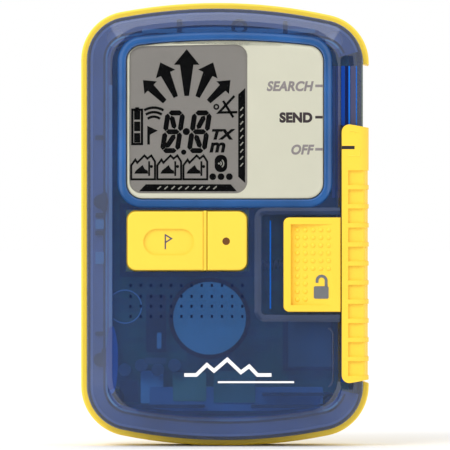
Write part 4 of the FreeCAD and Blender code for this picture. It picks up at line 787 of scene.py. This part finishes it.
def build_emblem():
    """A plain printed sign: a ridge line over a thin rule."""
    mesh = bmesh.new()
    face = surface("front_cover", 0, 24 * MM)
    ridge_line = [(-10.8, 19.1), (-7.6, 19.1), (-4.8, 21.8), (-2.9, 20.2), (0.6, 23.2)]
    ridge_line += [(4.2, 19.8), (6.4, 21.4), (8.6, 19.1), (12.3, 19.1)]
    rule = [(-1.9, 17.2), (18.3, 17.2)]
    for line, width in ((ridge_line, 0.95), (rule, 0.5)):
        stroke(mesh, in_metres(line), width * MM, face - PRINT_DEPTH, face + PRINT_DEPTH)
    piece("cover_emblem", mesh, WHITE_INK)


def window_outline(grow):
    """The (x, z) outline in millimetres of the display's window, grown by a border."""
    low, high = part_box("display_lens")
    half, base, top = high.x / MM + grow, low.z / MM - grow, high.z / MM + grow
    radius, corner = 200.0, 4.1 + grow
    centre = top - radius
    side = half - corner
    reach = math.degrees(math.acos(side / (radius - corner)))
    height = centre + (radius - corner) * math.sin(math.radians(reach))
    points = circle((side, height), corner, 8, 0, reach)
    points += circle((0, centre), radius, 24, reach, 180 - reach)
    points += circle((-side, height), corner, 8, 180 - reach, 180)
    points += circle((-side, base + corner), corner, 8, 180, 270)
    points += circle((side, base + corner), corner, 8, 270, 360)
    return points


def ring(mesh, rows):
    """Adds a closed band through rows, each a (grow, y) step of the window's outline."""
    loops = []
    for grow, y in rows:
        loops.append([mesh.verts.new((x, y, z)) for x, z in in_metres(window_outline(grow))])
    for loop, following in zip(loops, loops[1:] + loops[:1]):
        bridge(mesh, loop, following)


def build_window_frame():
    """The raised frame of paler blue plastic round the window, sloped on both sides."""
    mesh = bmesh.new()
    floor = surface("front_cover", 0, 64.5 * MM)
    back, edge, crest = floor + 0.05 * MM, floor - 0.08 * MM, floor - 0.4 * MM
    ring(mesh, [(0.25, back), (0.25, edge), (0.6, crest), (1.7, crest), (2.45, edge), (2.45, back)])
    piece("window_frame", mesh, FRAME_BLUE, smooth=40)


def layer(behind_front, thickness):
    """The y span in millimetres of a layer that starts so far behind the object's front."""
    start = CAD_LOW.y / MM + behind_front
    return (start, start + thickness)


def inner_block(name, x, z, y, material):
    """A rectangular part over x, z and y spans in millimetres, with slightly round corners."""
    mesh = bmesh.new()
    corner = min(0.3, (x[1] - x[0]) / 4, (z[1] - z[0]) / 4)
    outline = rounded((x[0], z[0]), (x[1], z[1]), corner, 3)
    plate(mesh, in_metres(outline), y[0] * MM, y[1] * MM)
    piece(name, mesh, material)


def build_board_details():
    """What shows on the board through the cover: connectors, cables, labels, small parts and a pale spot of
    painted highlight.
    """
    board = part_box("main_board")[0].y / MM
    for name, x, z, rise, thickness, material, slot in (
        ("battery_lead", (-21.0, -15.7), (25.0, 40.3), 1.4, 1.4, DARK_PART_AND_SHADE, "dark_plastic"),
        # A pale spot of painted highlight, for a glint among the parts near the lead.
        ("lead_painted_glint", (-18.1, -16.9), (26.0, 30.2), 1.8, 0.5, SKY_PART_AND_LIGHT, "dark_plastic"),
        ("lead_socket", (-21.3, -15.6), (21.9, 23.6), 4.4, 0.2, SLATE_PART, "dark_plastic"),
        ("board_label", (-22.4, -16.4), (11.4, 20.1), 1.0, 1.0, SKY_PART_AND_LIGHT, "dark_plastic"),
        ("service_port", (-28.0, -23.2), (11.8, 17.4), 1.6, 1.6, DARK_PART_AND_SHADE, "dark_plastic"),
        ("ground_area", (-14.0, -9.9), (16.4, 19.6), 1.0, 1.0, PALE_PART, "circuit_board"),
        ("ground_strip", (-7.6, -3.4), (11.4, 16.0), 1.0, 1.0, PALE_PART, "circuit_board"),
        ("shield_label", (16.8, 28.2), (21.2, 33.2), 2.7, 0.1, SLATE_PART, "dark_plastic"),
    ):
        front = board - rise
        inner_block(name, x, z, (front, front + thickness), material)
    mesh = bmesh.new()
    coil = in_metres(circle((-26.6, 37.1), 4.4, 40))
    stroke(mesh, coil, 0.3 * MM, (board - 0.4) * MM, board * MM, True)
    piece("coil_outline", mesh, SKY_PART_AND_LIGHT)


def build_edge_details():
    """Pale and dark parts behind the cover's slope, at the left side and at the top; the two long pale
    strips are painted light.
    """
    y = layer(5.9, 0.8)
    side_x = (-34.4, -32.2)
    for name, x, z, material in (
        # Painted light: pale strips that lift the slope at the left side and at the top.
        ("side_painted_light_strip", (-30.9, -29.9), (31.5, 96.0), SKY_PART_AND_LIGHT),
        ("top_painted_light_strip", (-22.0, 24.0), (109.8, 110.9), SKY_PART_AND_LIGHT),
        ("side_tick_upper", side_x, (60.7, 62.0), DARK_PART_AND_SHADE),
        ("side_tick_middle", side_x, (56.0, 57.2), DARK_PART_AND_SHADE),
        ("side_tick_lower", side_x, (29.4, 30.5), DARK_PART_AND_SHADE),
        ("side_tick_high", side_x, (81.4, 82.6), DARK_PART_AND_SHADE),
        ("side_window_upper", side_x, (57.7, 60.3), SKY_PART_AND_LIGHT),
        ("side_window_lower", side_x, (48.4, 51.7), SKY_PART_AND_LIGHT),
        ("top_tick_left", (-12.8, -11.4), (109.2, 113.4), DARK_PART_AND_SHADE),
        ("top_tick_right", (15.4, 16.6), (109.2, 113.0), DARK_PART_AND_SHADE),
    ):
        inner_block(name, x, z, y, material)
    mesh = bmesh.new()
    front, back = y[0] * MM, y[1] * MM
    for z in (23.0, 65.0):
        plate(mesh, in_metres(circle((-33.0, z), 1.9, 24)), front, back)
    stroke(mesh, in_metres(circle((3.8, 111.4), 1.7, 32)), 0.9 * MM, front, back, True)
    piece("side_bosses", mesh, DARK_PART_AND_SHADE)


def build_channel_lines():
    """Painted light, painted shade and painted highlight lines on the floor of the switch's channel, above
    and below its slot, and a violet band for its wall.
    """
    for place, z in (("above", (85.2, 101.0)), ("below", (17.2, 41.2))):
        # The band is painted light, the shade painted shade, the line and the edge painted highlights, and
        # the wall the tone of the channel's wall.
        for name, x, material in (
            ("band", (30.8, 31.8), CHANNEL_PAINTED_LIGHT),
            ("shade", (31.9, 32.65), CHANNEL_PAINTED_SHADE),
            ("line", (32.75, 33.15), PAINTED_HIGHLIGHT_BLUE),
            ("wall", (33.3, 34.6), WALL_VIOLET),
            ("edge", (34.7, 35.0), PAINTED_HIGHLIGHT_BLUE),
        ):
            floor = surface("front_cover", sum(x) / 2 * MM, sum(z) / 2 * MM) / MM
            y = (floor - 0.06, floor + 0.05)
            inner_block(f"channel_{name}_{place}", x, z, y, material)


def ridge(mesh, points, width, base, height):
    """Adds a low bead with sloped sides along an open line of (x, z) points."""
    left, right = side_points(points, width, False)
    rows = []
    for middle, one, other in zip(points, left, right):
        crest = (middle[0], base - height, middle[1])
        places = [(one.x, base, one.y), crest, (other.x, base, other.y)]
        rows.append([mesh.verts.new(place) for place in places])
    for row, following in zip(rows, rows[1:]):
        bridge(mesh, row, following)
    mesh.faces.new(rows[0])
    mesh.faces.new(list(reversed(rows[-1])))


def lock_outline(side, rise, right):
    """An open line round the lock's pocket, side and rise outside it, with both ends at right."""
    low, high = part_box("lock_button")
    pocket_left, corner = 11.8, 2.0
    left, base, top = pocket_left - side, low.z / MM - rise, high.z / MM + rise
    points = [(right, top)]
    points += circle((left + corner, top - corner), corner, 8, 90, 180)
    points += circle((left + corner, base + corner), corner, 8, 180, 270)
    points.append((right, base))
    return in_metres(points)


def build_switch_edges():
    """Low beads on the slide switch above its ribs, stepped round the marker line."""
    mesh = bmesh.new()
    upper = [(33.0, 83.8), (35.2, 83.3), (37.2, 82.7)]
    lower = [(32.5, 77.0), (35.6, 77.0), (35.7, 78.5), (37.2, 78.5)]
    for line in (upper, lower):
        ridge(mesh, in_metres(line), 0.45 * MM, 0.0, 0.16 * MM)
    for vertex in mesh.verts:
        vertex.co.y += surface("slide_switch", vertex.co.x, vertex.co.z) + 0.02 * MM
    yellow = MATERIALS["yellow_plastic"]
    piece("switch_edges", mesh, yellow, body="slider", smooth=30)


def build_lock_frame():
    """The sloped lip round the lock's pocket, and a painted highlight along the edge of the pocket's floor.
    """
    face = surface("front_cover", 5 * MM, 44 * MM)
    mesh = bmesh.new()
    ridge(mesh, lock_outline(3.1, 1.7, 30.4), 1.9 * MM, face + 0.02 * MM, 0.3 * MM)
    piece("lock_frame_lip", mesh, LIP_BLUE, smooth=30)
    floor = surface("front_cover", 13 * MM, 48 * MM) / MM
    y = (floor - 0.06, floor + 0.05)
    # A painted highlight: a bright line along the edge of the pocket's floor.
    inner_block("lock_pocket_painted_highlight", (11.85, 12.2), (36.6, 60.0), y, PAINTED_HIGHLIGHT_BLUE)


def build_panel_line():
    """The rounded shoulder between the panel and the channel, from the pocket down to the corner."""
    face = surface("front_cover", 5 * MM, 44 * MM)
    mesh = bmesh.new()
    line = [*reversed(circle((26.6, 29.6), 2.0, 8, 0, 70)), *reversed(circle((26.1, 18.2), 2.5, 8, -60, 0))]
    ridge(mesh, in_metres(line), 0.5 * MM, face + 0.02 * MM, 0.2 * MM)
    piece("panel_shoulder", mesh, LIP_BLUE, smooth=30)


def cover_outline(inset):
    """The (x, z) outline in metres of the clear cover, shrunk by inset millimetres."""
    spacing = 0.8 * MM
    points = [Vector((vertex.co.x, vertex.co.z)) for vertex in NODES["front_cover"].data.vertices]
    hull = [points[index] for index in convex_hull_2d(points)]
    spaced = [hull[0]]
    for point in hull[1:]:
        if (point - spaced[-1]).length > spacing and (point - hull[0]).length > spacing:
            spaced.append(point)
    sides = side_points(spaced, 2 * inset * MM, True)
    return min(sides, key=lambda side: max(point.x for point in side))


def beside_switch(point):
    """Whether a point lies where the mode switch runs."""
    return point.x > 26 * MM and 14 * MM < point.y < 104 * MM


def build_cover_lines():
    """A pale liner of painted light behind the cover's slope, and lines of painted shade and painted
    highlight at its steps, all round but beside the switch; the outermost dark line also stands for the gap
    at the cover's edge.
    """
    slope_light_layer, steps = layer(6.8, 0.1), layer(6.6, 0.1)
    for name, near, far, y, material in (
        # The liner is painted light, the dark step lines painted shade and the pale step line a painted
        # highlight.
        ("slope_painted_light", 0.9, 6.2, slope_light_layer, SLOPE_PAINTED_LIGHT),
        ("step_painted_shade_outer", 0.2, 0.7, steps, DARK_PART_AND_SHADE),
        ("step_painted_shade", 4.3, 4.8, steps, DARK_PART_AND_SHADE),
        ("step_painted_highlight", 5.0, 5.4, steps, SKY_PART_AND_LIGHT),
        ("step_painted_shade_inner", 6.5, 7.0, steps, DARK_PART_AND_SHADE),
    ):
        mesh = bmesh.new()
        outer, inner = cover_outline(near), cover_outline(far)
        for index in range(len(outer)):
            after = (index + 1) % len(outer)
            if not beside_switch(outer[index]) and not beside_switch(outer[after]):
                corners = [outer[index], outer[after], inner[after], inner[index]]
                plate(mesh, corners, y[0] * MM, y[1] * MM)
        piece(name, mesh, material)


def build_gathered_light():
    """Painted light: saturated areas behind the clear cover, where light gathers in its thick edge."""
    y = layer(5.35, 0.15)
    mesh = bmesh.new()
    half_width, half_height = 1.6, 9.0
    unit = circle((0, 0), 1.0, 40)
    ellipse = [(half_width * x - 30.0, half_height * z + 23.0) for x, z in unit]
    plate(mesh, in_metres(ellipse), y[0] * MM, y[1] * MM)
    piece("gathered_light", mesh, PAINTED_LIGHT_BLUE)
    inner_block("window_side_light", (28.4, 29.3), (66.0, 101.0), y, PAINTED_LIGHT_VIOLET)
    inner_block("window_side_painted_light_deep", (29.4, 30.5), (66.0, 101.0), y, PAINTED_LIGHT_DEEP_VIOLET)
    inner_block("top_painted_light_left", (-9.0, 1.0), (108.6, 109.6), y, PAINTED_LIGHT_BLUE)
    inner_block("top_painted_light_right", (3.0, 14.0), (108.4, 109.4), y, PAINTED_LIGHT_BLUE)


def build_lower_fields():
    """The bars and the blue and green areas that show through the cover along its lower edge."""
    y = layer(6.5, 0.1)
    inner_block("lower_bar", (-25.8, -5.4), (10.4, 11.1), y, DARK_PART_AND_SHADE)
    inner_block("lower_bar_right", (6.9, 22.7), (10.2, 10.9), y, DARK_PART_AND_SHADE)
    inner_block("upper_bar_right", (9.9, 19.4), (13.6, 14.2), y, DARK_PART_AND_SHADE)
    inner_block("lower_field", (-20.0, 26.0), (9.4, 15.8), layer(6.7, 0.1), FIELD_BLUE)
    inner_block("green_field", (-13.8, -5.0), (12.0, 19.6), y, FIELD_GREEN)


def build_key_surround():
    """The dark frame that shows round the keys through the cover, and the web between the keys."""
    y = layer(2.44, 0.11)
    for name, x, z in (
        ("left", (-27.9, -26.3), (45.0, 64.6)),
        ("right", (6.35, 7.9), (45.0, 64.6)),
        ("above", (-26.3, 6.35), (62.9, 64.6)),
        ("below", (-26.3, 6.35), (45.0, 46.5)),
    ):
        inner_block("key_surround_" + name, x, z, y, DARK_PART_AND_SHADE)
    web_y = layer(0.4, 2.1)
    inner_block("key_web", (-5.7, -4.88), (46.8, 62.6), web_y, MATERIALS["yellow_key"])


def inside_window(point, grow):
    """A point in millimetres, moved straight inwards if it lies outside the grown window."""
    outline = [Vector(corner) for corner in window_outline(grow)]
    middle = Vector((0, 86))
    for index, start in enumerate(outline):
        end = outline[(index + 1) % len(outline)]
        met = intersect_line_line_2d(middle, Vector(point), start, end)
        if met:
            return tuple(met)
    return point


def build_panel_film():
    """The printed film on the display's panel, with the opening in which the liquid crystal lies."""
    mesh = bmesh.new()
    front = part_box("display_panel")[0].y - 0.006 * MM
    frame_line = rounded((-25.4, 67.1), (6.0, 106.7), 3.3)
    opening = [inside_window(point, -0.25) for point in frame_line]
    edges = []
    for loop in (window_outline(-0.15), opening):
        around = [mesh.verts.new((x, front, z)) for x, z in in_metres(loop)]
        edges += [mesh.edges.new((around[index - 1], around[index])) for index in range(len(around))]
    faces = bmesh.ops.triangle_fill(mesh, edges=edges, use_beauty=True)["geom"]
    raised = bmesh.ops.extrude_face_region(mesh, geom=faces)["geom"]
    corners = [part for part in raised if isinstance(part, bmesh.types.BMVert)]
    bmesh.ops.translate(mesh, verts=corners, vec=(0, 0.1 * MM, 0))
    piece("panel_film", mesh, MATERIALS["printed_panel"])


def build_lock_spring():
    """The coil spring behind the lock button, as long as the CAD spring that it stands in for."""
    low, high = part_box("lock_spring")
    length, middle = high.x - low.x, (low + high) / 2
    wire, turns, steps, pushed = 0.25 * MM, 6, 20, 3.6 * MM
    radius = (high.z - low.z) / 2 - wire
    curve = bpy.data.curves.new("spring_line", "CURVE")
    curve.dimensions = "3D"
    curve.bevel_depth = wire
    curve.bevel_resolution = 2
    curve.use_fill_caps = True
    line = curve.splines.new("POLY")
    line.points.add(turns * steps)
    for index, point in enumerate(line.points):
        angle = 2 * math.pi * index / steps
        x = low.x + wire + (length - 2 * wire) * index / (turns * steps)
        y, z = middle.y + radius * math.cos(angle), middle.z + radius * math.sin(angle)
        point.co = (x, y, z, 1)
    mesh = bmesh.new()
    mesh.from_mesh(solid_of(curve))
    spring = piece("lock_spring_coil", mesh, MATERIALS["steel"], smooth=60)
    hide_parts("lock_spring")
    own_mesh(spring)


build_window_frame()
build_board_details()
build_edge_details()
build_channel_lines()
build_switch_edges()
build_lock_frame()
build_panel_line()
build_cover_lines()
build_gathered_light()
build_lower_fields()
build_key_surround()
build_panel_film()
build_lock_spring()
build_cover_dots()
build_emblem()


# ------------------------ light and camera


def add_light(name, place, size, power, mirrored=False):
    """A soft rectangular lamp that looks at the object. A mirrored one shows only as a reflection."""
    lamp = bpy.data.lights.new(name, "AREA")
    lamp.shape = "RECTANGLE"
    lamp.size, lamp.size_y = size
    lamp.energy = power
    item = new_object(name, lamp)
    item.location = place
    middle = (CAD_LOW + CAD_HIGH) / 2
    item.rotation_euler = (middle - Vector(place)).to_track_quat("-Z", "Y").to_euler()
    item.visible_glossy = mirrored
    item.visible_diffuse = not mirrored


def add_sun(strength):
    """The main light, from the upper left in front, softened as by a big diffuser."""
    sun = bpy.data.lights.new("sun", "SUN")
    sun.energy = strength
    sun.angle = math.radians(25)
    item = new_object("sun", sun)
    item.rotation_euler = Vector((0.45, 0.75, -0.8)).to_track_quat("-Z", "Y").to_euler()
    item.visible_glossy = False


def add_card(name, corners):
    """A grey sheet that only reflections show, so that flat glossy faces mirror grey, not white."""
    mesh = bmesh.new()
    mesh.faces.new([mesh.verts.new(corner) for corner in corners])
    card = mesh_object(name, mesh)
    card.visible_camera = False
    card.visible_shadow = False
    card.visible_diffuse = False
    card.visible_transmission = False
    card.data.materials.append(moulded_plastic(name, colour(118, 118, 122), 0.9))


def add_cards():
    """One card behind the camera and one on the floor before it, clear of the object's slopes."""
    half, height, far = 0.75, 1.2, -2.7
    near_half, near = 0.1, CAD_LOW.y - 50 * MM
    upright = [(-half, far, 0), (half, far, 0), (half, far, height), (-half, far, height)]
    add_card("card_upright", upright)
    low = CAD_LOW.z + MM
    floor = [(-half, far, low), (half, far, low), (near_half, near, low), (-near_half, near, low)]
    add_card("card_floor", floor)


def build_stage():
    """A wide pale floor of plain paper."""
    mesh = bmesh.new()
    bmesh.ops.create_circle(mesh, cap_ends=True, segments=96, radius=12.0)
    floor = mesh_object("floor", mesh)
    floor.location.z = CAD_LOW.z
    material, tree, shader = new_material("pale_floor")
    stops = [(0.3, (0.9, 0.9, 0.9, 1)), (0.7, (0.93, 0.93, 0.93, 1))]
    tree.links.new(ramp(tree, noise(tree, 0.4, detail=2), stops), shader.inputs["Base Color"])
    set_inputs(shader, {"Roughness": 1.0, "Specular IOR Level": 0.0})
    floor.data.materials.append(material)


def build_light():
    """A white room, a soft sun, a lamp at the left and a bright panel overhead for the top slope."""
    world = bpy.data.worlds.new("studio")
    world.use_nodes = True
    background = world.node_tree.nodes["Background"]
    set_inputs(background, {"Color": (1, 1, 1, 1), "Strength": 1.0})
    bpy.context.scene.world = world
    add_sun(0.9)
    add_light("side_lamp", (-0.8, -0.5, 0.5), (0.35, 0.6), 1.6)
    add_light("overhead_panel", (0, -1.17, 1.62), (1.8, 0.9), 7.5, mirrored=True)
    add_cards()


def build_camera():
    """A long lens straight in front of the object, at the middle of its height."""
    margin, lowered = 1.009, 0.2 * MM
    frame_height = margin * (CAD_HIGH.z - CAD_LOW.z)
    lens = bpy.data.cameras.new("camera")
    lens.lens = 500
    lens.sensor_width = 36
    lens.clip_start, lens.clip_end = 0.05, 50
    distance = frame_height * lens.lens / lens.sensor_width
    camera = new_object("camera", lens)
    camera.location = (0, CAD_LOW.y - distance, (CAD_LOW.z + CAD_HIGH.z) / 2 - lowered)
    camera.rotation_euler = (math.radians(90), 0, 0)
    bpy.context.scene.camera = camera


build_stage()
build_light()
build_camera()
bpy.context.scene.view_settings.view_transform = "Standard"
